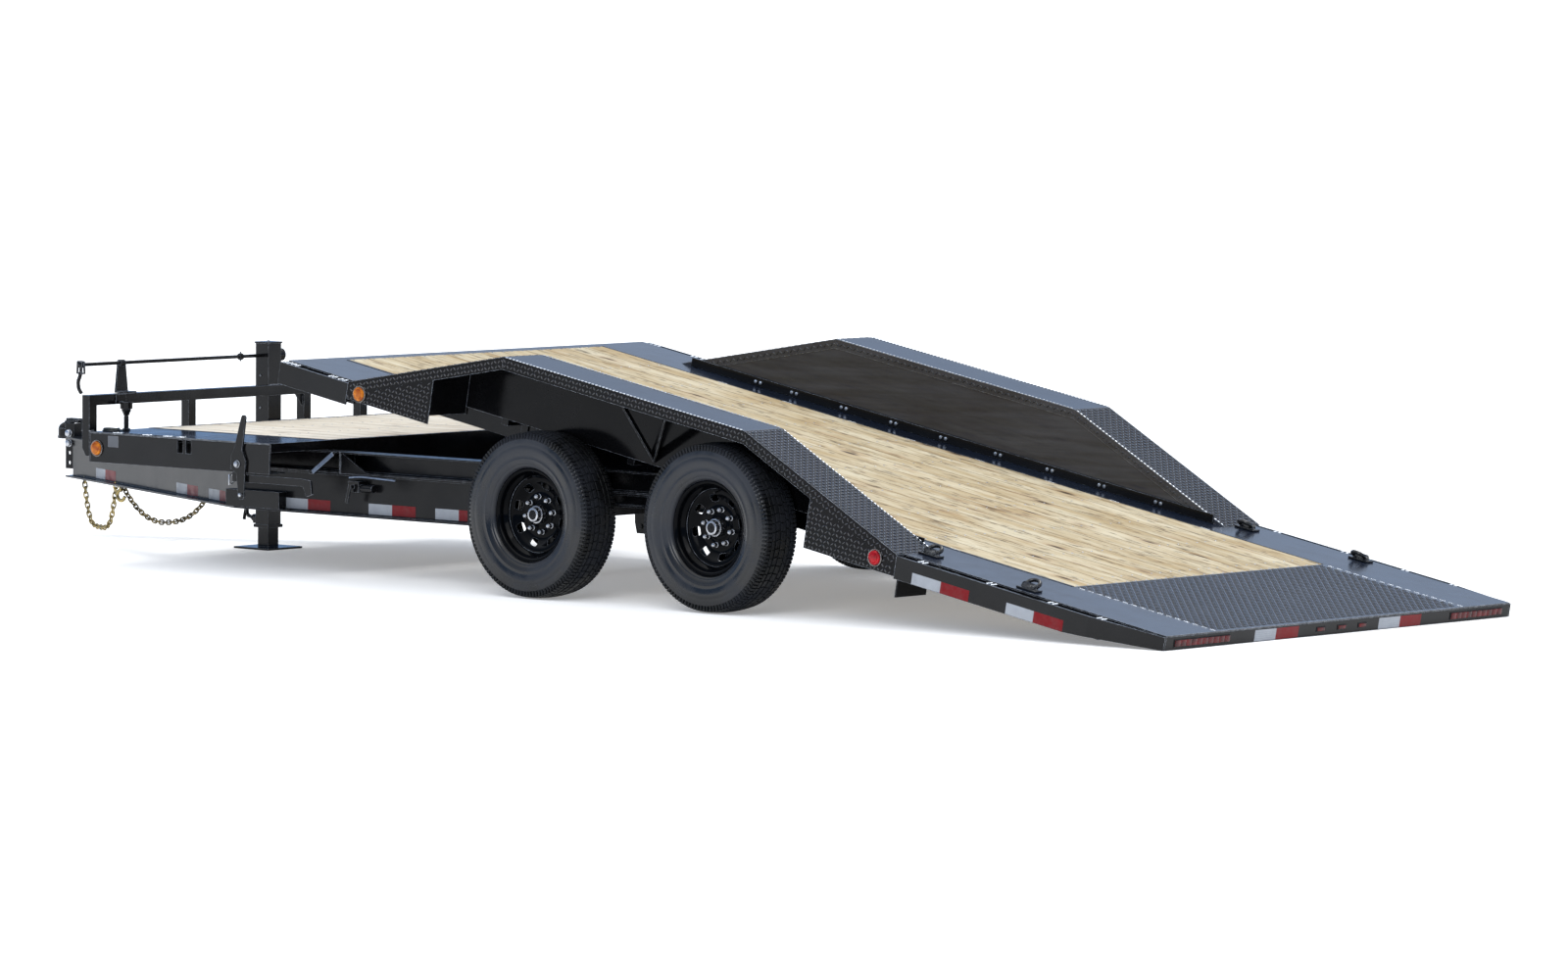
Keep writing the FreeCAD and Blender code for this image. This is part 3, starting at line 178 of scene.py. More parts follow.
class Graph:
    """Short calls that make the nodes and links of one shader tree."""

    def __init__(self, tree: bpy.types.NodeTree) -> None:
        """Keep the tree."""
        self.tree = tree

    def put(self, socket: Socket, value: object) -> None:
        """Link a socket to another, or set its value.

        Args:
            socket: The socket.
            value: The other socket, or the value.
        """
        if isinstance(value, Socket):
            self.tree.links.new(value, socket)
        else:
            socket.default_value = value

    def set(self, node: Node, **values: object) -> None:
        """Put values into a node's inputs, which are named with underscores for spaces."""
        for key, value in values.items():
            self.put(node.inputs[key.replace("_", " ")], value)

    def add(self, kind: str, settings: dict[str, object] | None = None, **values: object) -> Node:
        """Add a node.

        Args:
            kind: Type name after ShaderNode.
            settings: Properties of the node.
            values: Its inputs by name, each a value or another node's socket.

        Returns:
            The new node.
        """
        node = self.tree.nodes.new("ShaderNode" + kind)
        for key, value in (settings or {}).items():
            setattr(node, key, value)
        self.set(node, **values)
        return node

    def math(self, operation: str, *values: object, clamp: bool = False) -> Socket:
        """Add a Math node.

        Args:
            operation: Name of the operation.
            values: Its inputs in order.
            clamp: Whether the result stays between 0 and 1.

        Returns:
            The result's socket.
        """
        node = self.add("Math", {"operation": operation, "use_clamp": clamp})
        for socket, value in zip(node.inputs, values):
            self.put(socket, value)
        return node.outputs[0]

    def times(self, first: object, second: object) -> Socket:
        """The product of two values."""
        return self.math("MULTIPLY", first, second)

    def vectors(self, operation: str, first: Socket, second: Socket) -> Node:
        """Add a Vector Math node.

        Args:
            operation: Name of the operation.
            first: First vector.
            second: Second vector.

        Returns:
            The new node.
        """
        node = self.add("VectorMath", {"operation": operation})
        self.put(node.inputs[0], first)
        self.put(node.inputs[1], second)
        return node

    def spread(self, value: object, low: float, high: float, to_low: float = 0.0,
               to_high: float = 1.0) -> Socket:
        """Stretch a value from one range to another, kept inside the new one.

        Args:
            value: The value to stretch.
            low: Start of its range.
            high: End of its range.
            to_low: What the start becomes.
            to_high: What the end becomes.

        Returns:
            The stretched value's socket.
        """
        ends = {"From_Min": low, "From_Max": high, "To_Min": to_low, "To_Max": to_high}
        return self.add("MapRange", Value=value, **ends).outputs["Result"]

    def blend(self, share: object, first: object, second: object, kind: str = "MIX") -> Socket:
        """Mix two colours.

        Args:
            share: How much of the second.
            first: First colour.
            second: Second colour.
            kind: How they mix.

        Returns:
            The mixed colour's socket.
        """
        node = self.add("Mix", {"data_type": "RGBA", "blend_type": kind}, Factor=share)
        self.put(node.inputs[6], first)
        self.put(node.inputs[7], second)
        return node.outputs[2]

    def axis(self, source: str, letter: str) -> Socket:
        """One axis of the coordinates, or of the normals, that Texture Coordinate gives."""
        return self.add("SeparateXYZ", Vector=self.add("TexCoord").outputs[source]).outputs[letter]

    def places(self, scale: Triple = (1, 1, 1), turn: Triple = (0, 0, 0)) -> Socket:
        """Object coordinates, scaled and turned (in radians)."""
        source = self.add("TexCoord").outputs["Object"]
        return self.add("Mapping", Vector=source, Scale=scale, Rotation=turn).outputs["Vector"]

    def noise(self, place: Socket, scale: float, detail: float = 3.0, rough: float = 0.55) -> Socket:
        """Noise between 0 and 1 at a place."""
        return self.add("TexNoise", Vector=place, Scale=scale, Detail=detail, Roughness=rough).outputs["Fac"]

    def cells(self, turn: float, scale: float) -> Socket:
        """Even cells on the object.

        Args:
            turn: Their turn about Y in radians.
            scale: Cells in a metre.

        Returns:
            The socket of the distance to the cells' edges.
        """
        place = self.places((1, 1, 1), (0.0, turn, 0.0))
        return self.add("TexVoronoi", {"feature": "DISTANCE_TO_EDGE"}, Vector=place, Scale=scale,
                        Randomness=0.0).outputs["Distance"]

    def relief(self, strength: float, distance: float, height: Socket, **under: Socket) -> Socket:
        """Normals bumped by a height, over the given ones."""
        return self.add("Bump", Strength=strength, Distance=distance, Height=height, **under).outputs["Normal"]


def shared_group(name: str, amount: tuple[str, float], outputs: dict[str, str],
                 fill: Callable[[Graph, Socket], dict[str, Socket]]) -> bpy.types.NodeTree:
    """Build a node group once, or return the one that is there.

    Args:
        name: Name of the group.
        amount: Name and value of its input.
        outputs: Socket type of each output by name.
        fill: Makes the nodes inside from the input and returns a socket for each output.

    Returns:
        The group's node tree.
    """
    found = bpy.data.node_groups.get(name)
    if found:
        return found
    tree = bpy.data.node_groups.new(name, "ShaderNodeTree")
    entry_socket = tree.interface.new_socket(name=amount[0], in_out="INPUT", socket_type="NodeSocketFloat")
    entry_socket.default_value = amount[1]
    for label, kind in outputs.items():
        tree.interface.new_socket(name=label, in_out="OUTPUT", socket_type=kind)
    entry = tree.nodes.new("NodeGroupInput")
    leave = tree.nodes.new("NodeGroupOutput")
    for label, socket in fill(Graph(tree), entry.outputs[0]).items():
        tree.links.new(socket, leave.inputs[label])
    return tree


def painted_edge_highlights() -> bpy.types.NodeTree:
    """Group that finds a shape's edges, broken up by noise, as the mask of painted edge highlights, and rounds their
    normals.

    Returns:
        The group's node tree.
    """

    def fill(graph: Graph, width: Socket) -> dict[str, Socket]:
        """Nodes of the group.

        Args:
            graph: The graph to fill.
            width: Width of the edges.

        Returns:
            A socket for each output.
        """
        rounded = graph.add("Bevel", {"samples": 4}, Radius=width).outputs["Normal"]
        dot = graph.vectors("DOT_PRODUCT", rounded, graph.add("NewGeometry").outputs["Normal"])
        edge = graph.spread(dot.outputs["Value"], 0.985, 0.86)
        speckle = graph.spread(graph.noise(graph.places(), 38.0, 4.0), 0.38, 0.62, 0.3, 1.0)
        return {"Mask": graph.times(edge, speckle), "Rounded": rounded}

    outputs = {"Mask": "NodeSocketFloat", "Rounded": "NodeSocketVector"}
    return shared_group("painted_edge_highlights", ("Width", 0.002), outputs, fill)


def settled_dust() -> bpy.types.NodeTree:
    """Group for pale dust that lies in clouds, most of it on faces that look up.

    Returns:
        The group's node tree.
    """

    def fill(graph: Graph, amount: Socket) -> dict[str, Socket]:
        """Nodes of the group.

        Args:
            graph: The graph to fill.
            amount: How much of it.

        Returns:
            A socket for each output.
        """
        up = graph.spread(graph.axis("Normal", "Z"), 0.2, 0.95, 0.25, 1.0)
        clouds = graph.spread(graph.noise(graph.places((1.0, 2.2, 1.0)), 2.6, 5.0, 0.6), 0.45, 0.75)
        grit = graph.spread(graph.noise(graph.places(), 160.0, 2.0), 0.4, 0.7, 0.35, 1.0)
        lies = graph.times(graph.times(up, clouds), grit)
        return {"Mask": graph.math("MULTIPLY", lies, amount, clamp=True)}

    return shared_group("settled_dust", ("Amount", 0.5), {"Mask": "NodeSocketFloat"}, fill)


@dataclass(frozen=True)
class Finish:
    """What every finish has: its name and the record's slot."""

    name: str
    slot: Slot

    def material(self) -> bpy.types.Material:
        """The material, made at its first use.

        Returns:
            The material.
        """
        made = bpy.data.materials.get(self.name)
        if made is None:
            made = bpy.data.materials.new(self.name)
            made.use_nodes = True
            made.node_tree.nodes.clear()
            graph = Graph(made.node_tree)
            shader = graph.add("BsdfPrincipled")
            graph.add("OutputMaterial", Surface=shader.outputs["BSDF"])
            self.paint(graph, shader)
        return made

    def paint(self, graph: Graph, shader: Node) -> None:
        """Fill in the shader."""
        raise NotImplementedError(self.name)


@dataclass(frozen=True)
class GlossPaint(Finish):
    """Powder paint: faint orange peel, slow mottling, dust tinted blue as a painted sky reflection, upward faces
    painted lighter as a painted sky reflection, and edges painted pale as painted highlights.
    """

    colour: Colour
    painted_sky_top: Colour
    roughness: float = 0.24
    specular: float = 0.35
    peel: float = 0.05
    dust: float = 0.5
    edge_highlight: float = 0.5
    edge_width: float = 0.002
    inner_coat: float = 0.0
    side_gloss: float = 1.0

    def painted_deck_reflection(self, graph: Graph, shader: Node, base: Socket) -> Socket:
        """A clear coat on the faces that look across the deck, towards the centreline, with grey streaks on them as a
        painted reflection of the deck boards.

        Args:
            graph: The material's graph.
            shader: Its shader.
            base: Colour of the other faces.

        Returns:
            The colour of all faces.
        """
        inward = graph.spread(graph.times(graph.axis("Normal", "Y"), graph.axis("Object", "Y")), -0.5, -0.8)
        graph.set(shader, Coat_Weight=graph.times(inward, self.inner_coat))
        # grey streaks on the inward faces: a painted reflection of the deck boards
        reflection_streaks = graph.spread(graph.noise(graph.places((0.5, 1.0, 9.0)), 3.0, 6.0), 0.3, 0.7, 0.35, 1.0)
        return graph.blend(graph.times(inward, reflection_streaks), base, shade(60, 62, 68))

    def paint(self, graph: Graph, shader: Node) -> None:
        """Fill in the paint.

        Args:
            graph: The graph to fill.
            shader: The material's shader.
        """
        edges = graph.add("Group", {"node_tree": painted_edge_highlights()}, Width=self.edge_width)
        dust = graph.add("Group", {"node_tree": settled_dust()}, Amount=self.dust).outputs["Mask"]
        place, normal = graph.places(), graph.axis("Normal", "Z")
        # faces that look up get the second colour: a painted sky reflection
        base = graph.blend(graph.spread(normal, 0.75, 0.95), self.colour, self.painted_sky_top)
        if self.inner_coat:
            base = self.painted_deck_reflection(graph, shader, base)
        clouds = graph.spread(graph.noise(place, 1.7, 4.0), 0.35, 0.7)
        deeper = graph.blend(clouds, base, (0.6, 0.62, 0.68, 1), "MULTIPLY")
        # pale dust, its colour tinted blue as a painted sky reflection
        dusty = graph.blend(graph.times(dust, 0.14), deeper, shade(158, 164, 176))
        # painted highlight: edges painted pale where their rounding would catch the sky
        edge_lit = graph.blend(graph.times(edges.outputs["Mask"], self.edge_highlight), dusty, shade(204, 212, 224))
        rough = graph.spread(graph.noise(place, 9.0, 5.0), 0.3, 0.75, self.roughness * 0.8, self.roughness * 1.3)
        gloss = graph.spread(normal, 0.3, 0.75, self.specular * self.side_gloss, self.specular)
        peel = graph.noise(place, 420.0, 2.0)
        graph.set(shader, Coat_Roughness=0.04, Coat_IOR=1.75, Base_Color=edge_lit, Specular_IOR_Level=gloss,
                  Roughness=graph.math("MULTIPLY_ADD", dust, 0.22, rough),
                  Normal=graph.relief(self.peel, 0.001, peel, Normal=edges.outputs["Rounded"]))


@dataclass(frozen=True)
class PineBoards(Finish):
    """Sawn pine planks: each board its own tint, long grain, knots and dark mill streaks."""

    pale: Colour
    warm: Colour
    knot: Colour
    bleach: float = 0.0
    half_width: float = 0.892
    boards: int = 13

    def paint(self, graph: Graph, shader: Node) -> None:
        """Fill in the boards.

        Args:
            graph: The graph to fill.
            shader: The material's shader.
        """
        from_edge = graph.math("SUBTRACT", graph.axis("Object", "Y"), -self.half_width)
        across = graph.math("DIVIDE", from_edge, 2 * self.half_width / self.boards)
        board = graph.math("FLOOR", across)
        tint = graph.add("TexWhiteNoise", {"noise_dimensions": "1D"}, W=board).outputs["Value"]
        shift = graph.add("CombineXYZ", X=graph.times(board, 3.7), Y=graph.times(board, 0.9), Z=0.0).outputs["Vector"]
        moved = graph.vectors("ADD", graph.add("TexCoord").outputs["Object"], shift).outputs[0]

        def stretched(along: float, over: float) -> Socket:
            """Coordinates drawn out along the board."""
            return graph.add("Mapping", Vector=moved, Scale=(along, over, over)).outputs["Vector"]

        def marks(along: float, over: float, channel: int, rare: Pair, *rings: Pair) -> list[Socket]:
            """Round marks on a few of the cells of a stretched pattern.

            Args:
                along: Scale along the board.
                over: Scale across it.
                channel: Channel of the cell's colour that says which cells have one.
                rare: Where that channel starts and ends.
                rings: Outer and inner distance of each mark.

            Returns:
                A mask for each ring.
            """
            spots = graph.add("TexVoronoi", {"feature": "F1"}, Vector=stretched(along, over), Scale=1.0, Randomness=1.0)
            chosen = graph.add("SeparateColor", Color=spots.outputs["Color"]).outputs[channel]
            picked, distance = graph.spread(chosen, *rare), spots.outputs["Distance"]
            return [graph.times(graph.spread(distance, *ring), picked) for ring in rings]

        grain = graph.noise(stretched(1.6, 42.0), 1.0, 6.0, 0.62)
        growth = graph.spread(graph.noise(stretched(0.5, 13.0), 1.0, 3.0, 0.5), 0.35, 0.65)
        fibre = graph.noise(stretched(9.0, 420.0), 1.0, 2.0, 0.5)
        core, halo = marks(2.3, 9.5, 0, (0.38, 0.46), (0.20, 0.07), (0.42, 0.1))
        speck, = marks(7.0, 36.0, 1, (0.54, 0.64), (0.30, 0.12))
        streak = graph.spread(graph.noise(stretched(1.6, 30.0), 1.0, 5.0, 0.7), 0.555, 0.68)
        base = graph.blend(growth, self.pale, self.warm)
        base = graph.blend(graph.spread(tint, 0.0, 1.0, 0.0, 0.55), base, (0.80, 0.76, 0.68, 1), "MULTIPLY")
        base = graph.blend(graph.spread(grain, 0.52, 0.74, 0.0, 0.75), base, (0.44, 0.34, 0.23, 1), "MULTIPLY")
        base = graph.blend(graph.times(streak, 0.75), base, self.knot)
        base = graph.blend(graph.times(halo, 0.4), base, shade(150, 112, 70))
        base = graph.blend(graph.math("MAXIMUM", core, graph.times(speck, 0.8)), base, self.knot)
        base = graph.blend(self.bleach, base, shade(226, 218, 206))
        edge = graph.math("ABSOLUTE", graph.math("SUBTRACT", graph.math("FRACT", across), 0.5))
        base = graph.blend(graph.times(graph.spread(edge, 0.465, 0.492), 0.75), base, shade(88, 68, 46))
        height = graph.math("ADD", graph.times(grain, 0.7), graph.times(fibre, 0.5))
        graph.set(shader, Specular_IOR_Level=0.25, Base_Color=base, Roughness=graph.spread(grain, 0.3, 0.8, 0.62, 0.85),
                  Normal=graph.relief(0.5, 0.0015, height))


@dataclass(frozen=True)
class Rubber(Finish):
    """Tyre rubber: near black, dusty where it rolls, with fine moulding marks."""

    colour: Colour
    roughness: float
    specular: float

    def paint(self, graph: Graph, shader: Node) -> None:
        """Fill in the rubber.

        Args:
            graph: The graph to fill.
            shader: The material's shader.
        """
        place = graph.places()
        clouds = graph.spread(graph.noise(place, 4.2, 3.0, 0.55), 0.40, 0.62)
        dust = graph.add("Group", {"node_tree": settled_dust()}, Amount=0.8).outputs["Mask"]
        scuffed = graph.blend(graph.times(clouds, 0.35), self.colour, shade(40, 44, 54))
        graph.set(shader, Specular_IOR_Level=self.specular,
                  Base_Color=graph.blend(graph.times(dust, 0.05), scuffed, shade(120, 118, 114)),
                  Roughness=graph.spread(clouds, 0.0, 1.0, self.roughness * 0.6, self.roughness * 1.7),
                  Normal=graph.relief(0.2, 0.0008, graph.noise(place, 260.0, 3.0)))


@dataclass(frozen=True)
class BareMetal(Finish):
    """Plated or polished metal with a drawn grain and dull spots."""

    colour: Colour
    second: Colour
    roughness: float = 0.3
    metallic: float = 1.0
    spots: float = 14.0

    def paint(self, graph: Graph, shader: Node) -> None:
        """Fill in the metal.

        Args:
            graph: The graph to fill.
            shader: The material's shader.
        """
        place = graph.places()
        clouds = graph.spread(graph.noise(place, self.spots, 4.0, 0.6), 0.38, 0.66)
        edges = graph.add("Group", {"node_tree": painted_edge_highlights()}, Width=0.0012)
        base = graph.blend(clouds, self.colour, self.second)
        graph.set(shader, Metallic=self.metallic,
                  # painted highlight: edges painted near white
                  Base_Color=graph.blend(edges.outputs["Mask"], base, shade(235, 236, 238)),
                  Roughness=graph.spread(clouds, 0.0, 1.0, self.roughness * 0.7, self.roughness * 1.4),
                  Normal=graph.relief(0.12, 0.0006, graph.noise(place, 300.0, 3.0), Normal=edges.outputs["Rounded"]))


@dataclass(frozen=True)
class Lens(Finish):
    """Lamp lens: clear plastic over a dark case, cut in small prisms."""

    deep: Colour
    bright: Colour
    prism: float = 110.0

    def paint(self, graph: Graph, shader: Node) -> None:
        """Fill in the lens.

        Args:
            graph: The graph to fill.
            shader: The material's shader.
        """
        tilt = 0.18
        facet = graph.spread(graph.cells(tilt, self.prism), 0.0, 0.35)
        clouds = graph.noise(graph.places((1, 1, 1), (0.0, tilt, 0.0)), 26.0, 2.0)
        inner = graph.blend(graph.spread(clouds, 0.35, 0.65), self.deep, self.bright)
        graph.set(shader, Roughness=0.12, Specular_IOR_Level=0.22, Coat_Weight=0.04, Coat_Roughness=0.04,
                  Base_Color=graph.blend(graph.spread(facet, 0.0, 1.0, 0.35, 0.0), inner, self.deep),
                  Normal=graph.relief(0.5, 0.001, facet))


@dataclass(frozen=True)
class SafetyTape(Finish):
    """Reflective tape: a clear face over a fine honeycomb, slightly soiled."""

    colour: Colour
    lines: Colour

    def paint(self, graph: Graph, shader: Node) -> None:
        """Fill in the tape.

        Args:
            graph: The graph to fill.
            shader: The material's shader.
        """
        cells = graph.cells(0.78, 190.0)
        soil = graph.spread(graph.noise(graph.places(), 24.0, 5.0), 0.42, 0.7)
        base = graph.blend(graph.times(graph.spread(cells, 0.07, 0.02), 0.5), self.colour, self.lines)
        soiled = graph.blend(graph.times(soil, 0.16), base, shade(96, 94, 92))
        graph.set(shader, Specular_IOR_Level=0.16, Base_Color=soiled,
                  Roughness=graph.spread(soil, 0.0, 1.0, 0.28, 0.5), Normal=graph.relief(0.2, 0.0004, cells))


@dataclass(frozen=True)
class StudioFloor(Finish):
    """Pale seamless floor with the least of a texture."""

    def paint(self, graph: Graph, shader: Node) -> None:
        """Fill in the floor.

        Args:
            graph: The graph to fill.
            shader: The material's shader.
        """
        cloud = graph.noise(graph.places(), 0.35, 3.0)
        base = graph.blend(graph.spread(cloud, 0.3, 0.7), (0.93, 0.93, 0.93, 1), (0.95, 0.95, 0.95, 1))
        graph.set(shader, Specular_IOR_Level=0.1, Emission_Strength=0.26, Base_Color=base,
                  Roughness=graph.spread(cloud, 0.3, 0.7, 0.85, 0.95))


# The second colour of each gloss paint is a painted sky reflection on its faces that look up.
BLACK = GlossPaint("gloss_black_paint", Slot.BLACK, shade(12, 12, 13), shade(26, 30, 37), 0.16, 0.2, edge_highlight=0.8)
UNDER = GlossPaint("frame_black_paint", Slot.BLACK, shade(11, 11, 12), shade(22, 25, 30), 0.2, 0.16, dust=0.6)
PLATE = GlossPaint("slate_deck_plate", Slot.PLATE, shade(12, 13, 16), shade(20, 29, 45), 0.18, 0.6, dust=0.25,
                   edge_highlight=0.9, edge_width=0.003)
FENDER = GlossPaint("fender_sheet_paint", Slot.PLATE, shade(10, 10, 11), shade(18, 26, 41), 0.14, 0.2, dust=0.3,
                    edge_highlight=0.9, edge_width=0.003, inner_coat=0.42, side_gloss=0.5)
TREAD = GlossPaint("tread_bar_paint", Slot.PLATE, shade(30, 31, 34), shade(100, 120, 150), 0.1, 1.0, 0.02, 0.3,
                   edge_highlight=0.0, edge_width=0.0008, side_gloss=0.65)
WHEEL_PAINT = GlossPaint("wheel_black_paint", Slot.WHEEL, shade(4, 5, 7), shade(8, 11, 16), 0.07, 0.16, 0.03, 0.06,
                         side_gloss=0.3)
CASE = GlossPaint("moulded_black_plastic", Slot.BLACK, shade(14, 14, 15), shade(20, 20, 21), 0.4, 0.14, 0.2,
                  edge_highlight=0.2, edge_width=0.001)
FORGED = GlossPaint("forged_black_paint", Slot.BLACK, shade(8, 9, 11), shade(14, 18, 24), 0.1, 0.55, dust=0.08)
BEZEL = BareMetal("lamp_bezel", Slot.BLACK, shade(110, 104, 98), shade(60, 57, 54), 0.24, 0.9)
SILVER = BareMetal("silver_plate", Slot.STEEL, shade(196, 198, 202), shade(150, 153, 158), 0.28)
GALVANIZED = BareMetal("dull_zinc", Slot.STEEL, shade(150, 152, 155), shade(122, 124, 128), 0.45, spots=30.0)
GREY_SHEET = BareMetal("plain_grey_sheet", Slot.STEEL, shade(96, 98, 101), shade(90, 92, 96), 0.4, 0.5, 4.0)
GOLD_ZINC = BareMetal("yellow_zinc", Slot.ZINC, shade(176, 156, 104), shade(108, 100, 72), 0.32, spots=22.0)
DARK_ZINC = BareMetal("aged_zinc", Slot.ZINC, shade(132, 118, 84), shade(66, 61, 50), 0.4, spots=22.0)
NUT_ZINC = BareMetal("nut_zinc", Slot.STEEL, shade(176, 178, 182), shade(118, 120, 125), 0.26, spots=40.0)
# near-white metal for painted glints on fold edges, tail-plate welds and slot spacers; also the bolts at the walls'
# feet
GLEAM = BareMetal("glint_metal", Slot.STEEL, shade(228, 232, 238), shade(176, 182, 190), 0.16, spots=60.0)
# blue-grey bright metal: a painted sheen on the black strap and the valve hose
STRAP_SHEEN = BareMetal("strap_sheen", Slot.BLACK, shade(120, 134, 156), shade(96, 108, 128), 0.3, 0.4, 30.0)
# bright metal on black-painted welds: a painted highlight
WELD_GLINT = BareMetal("weld_bead", Slot.STEEL, shade(150, 154, 160), shade(74, 76, 80), 0.22, 0.8, 60.0)
RUBBER = Rubber("sidewall_rubber", Slot.RUBBER, shade(8, 10, 14), 0.3, 0.42)
TREAD_RUBBER = Rubber("tread_rubber", Slot.RUBBER, shade(13, 14, 15), 0.6, 0.2)
CABLE = Rubber("wet_looking_cable_rubber", Slot.CABLE, shade(14, 26, 30), 0.3, 0.6)
PLUG_RUBBER = Rubber("plug_rubber", Slot.CABLE, shade(15, 15, 16), 0.5, 0.3)
BED_PINE = PineBoards("tilt_deck_pine", Slot.WOOD, shade(198, 188, 163), shade(172, 153, 118), shade(50, 37, 24))
FRONT_PINE = PineBoards("front_deck_pine", Slot.WOOD, shade(214, 209, 198), shade(196, 186, 168), shade(74, 64, 54),
                        bleach=0.2)
AMBER = Lens("amber_prism_lens", Slot.AMBER, shade(136, 62, 8), shade(206, 124, 24))
RED = Lens("red_prism_lens", Slot.RED, shade(110, 3, 10), shade(176, 10, 24))
RED_STRIP = Lens("red_strip_lens", Slot.RED, shade(44, 1, 4), shade(104, 3, 11), 90.0)
RED_TAPE = SafetyTape("red_safety_tape", Slot.RED, shade(104, 1, 9), shade(122, 6, 16))
WHITE_TAPE = SafetyTape("white_safety_tape", Slot.STEEL, shade(140, 144, 150), shade(188, 191, 196))


# Modelling


def only(piece: Piece) -> None:
    """Select one piece and make it active.

    Args:
        piece: The piece.
    """
    bpy.ops.object.select_all(action="DESELECT")
    piece.select_set(True)
    bpy.context.view_layer.objects.active = piece


def named(name: str) -> Piece:
    """Give the active object, and its mesh, a name.

    Args:
        name: The name.

    Returns:
        The piece.
    """
    piece = bpy.context.active_object
    piece.name = piece.data.name = name
    return piece


def shown(name: str, data: bpy.types.ID) -> Piece:
    """Show a mesh, curve, lamp or camera in the scene.

    Args:
        name: Name of the object.
        data: What it shows.

    Returns:
        The object.
    """
    piece = bpy.data.objects.new(name, data)
    bpy.context.scene.collection.objects.link(piece)
    return piece


def primitive(name: str, kind: str, **sizes: object) -> Piece:
    """Add one of Blender's primitive meshes, at the origin unless its location is given.

    Args:
        name: Name of the piece.
        kind: Which primitive.
        sizes: Arguments of its operator.

    Returns:
        The piece, alone selected and active.
    """
    bpy.ops.object.select_all(action="DESELECT")
    getattr(bpy.ops.mesh, f"primitive_{kind}_add")(**({"location": (0, 0, 0)} | sizes))
    return named(name)


@contextmanager
def editing(pick: str = "SELECT") -> Iterator[None]:
    """Edit mode on the active piece.

    Args:
        pick: What select_all does first, or nothing to keep what is picked.

    Yields:
        Nothing.
    """
    bpy.ops.object.mode_set(mode="EDIT")
    if pick:
        bpy.ops.mesh.select_all(action=pick)
    yield
    bpy.ops.object.mode_set(mode="OBJECT")


def pick_nothing() -> None:
    """Clear what is picked on the active piece."""
    with editing("DESELECT"):
        pass


def extrude(x: float, y: float, z: float) -> None:
    """Extrude what is picked in edit mode, by millimetres."""
    bpy.ops.mesh.extrude_region_move(TRANSFORM_OT_translate={"value": (x * MM, y * MM, z * MM)})


def face_outward() -> None:
    """Turn all faces of the piece in edit mode outwards."""
    bpy.ops.mesh.select_all(action="SELECT")
    bpy.ops.mesh.normals_make_consistent(inside=False)


def smooth(piece: Piece, degrees: float) -> Piece:
    """Shade a piece smooth where its faces meet at less than an angle.

    Args:
        piece: The piece.
        degrees: The angle.

    Returns:
        The same piece.
    """
    only(piece)
    bpy.ops.object.shade_smooth_by_angle(angle=math.radians(degrees))
    return piece


def apply(piece: Piece, kind: str, **settings: object) -> Piece:
    """Put a modifier on a piece and apply it.

    Args:
        piece: The piece.
        kind: Type of the modifier.
        settings: Its properties.

    Returns:
        The same piece.
    """
    modifier = piece.modifiers.new(kind.lower(), kind)
    for key, value in settings.items():
        setattr(modifier, key, value)
    only(piece)
    bpy.ops.object.modifier_apply(modifier=modifier.name)
    return piece


def round_edges(piece: Piece, chosen: Callable[[Vector, Vector], bool], width: float, segments: int) -> None:
    """Bevel some edges of the active piece.

    Args:
        piece: The active piece.
        chosen: Says of an edge's two ends whether it is bevelled.
        width: Width of the bevel.
        segments: Steps of the bevel.
    """
    pick_nothing()
    corners = piece.data.vertices
    for edge in piece.data.edges:
        edge.select = chosen(*(corners[i].co for i in edge.vertices))
    with editing(""):
        bpy.ops.mesh.bevel(offset=width, segments=segments, affect="EDGES")


def block(name: str, low: Vector, high: Vector, bevel: float = 0.001, segments: int = 2) -> Piece:
    """A bar or plate with its edges bevelled.

    Args:
        name: Name of the piece.
        low: Lowest corner.
        high: Highest corner.
        bevel: Width of the bevel in metres.
        segments: Steps of the bevel.

    Returns:
        The piece.
    """
    piece = primitive(name, "cube", size=1.0, location=(low + high) / 2)
    piece.scale = high - low
    bpy.ops.object.transform_apply(location=True, rotation=True, scale=True)
    if bevel > 0:
        with editing():
            bpy.ops.mesh.bevel(offset=min(bevel, min(high - low) * 0.45), segments=segments, affect="EDGES")
    return piece


def drum(name: str, start: Vector, end: Vector, radius: float, sides: int = 24, bevel: float = 0.001,
         segments: int = 2) -> Piece:
    """A round bar or disc between two points, its rims bevelled.

    Args:
        name: Name of the piece.
        start: Middle of one end.
        end: Middle of the other end.
        radius: Radius in metres.
        sides: Faces round it.
        bevel: Width of the bevel.
        segments: Steps of the bevel.

    Returns:
        The piece.
    """
    run = end - start
    piece = primitive(name, "cylinder", vertices=sides, radius=radius, depth=run.length)
    round_edges(piece, lambda a, b: abs(a.z - b.z) < 1e-6, min(bevel, radius * 0.45, run.length / 2 * 0.8), segments)
    piece.data.transform(Matrix.Translation((start + end) / 2) @ run.to_track_quat("Z", "Y").to_matrix().to_4x4())
    return piece


def drums(rows: Sequence[tuple], place: Callable[..., Vector] = at) -> list[Piece]:
    """Drums from rows of a name, a start, an end and the rest of drum's arguments."""
    return [drum(name, place(*start), place(*end), *rest) for name, start, end, *rest in rows]


def blocks(rows: Sequence[tuple]) -> list[Piece]:
    """Blocks from rows of a name, the lowest corner, the highest one and the rest of block's arguments."""
    return [block(name, at(*low), at(*high), *rest) for name, low, high, *rest in rows]


def mirrored(section: Sequence[Pair]) -> list[Pair]:
    """The other half of a section that starts with this half, back towards its start."""
    return [(radius, -y) for radius, y in reversed(section)]


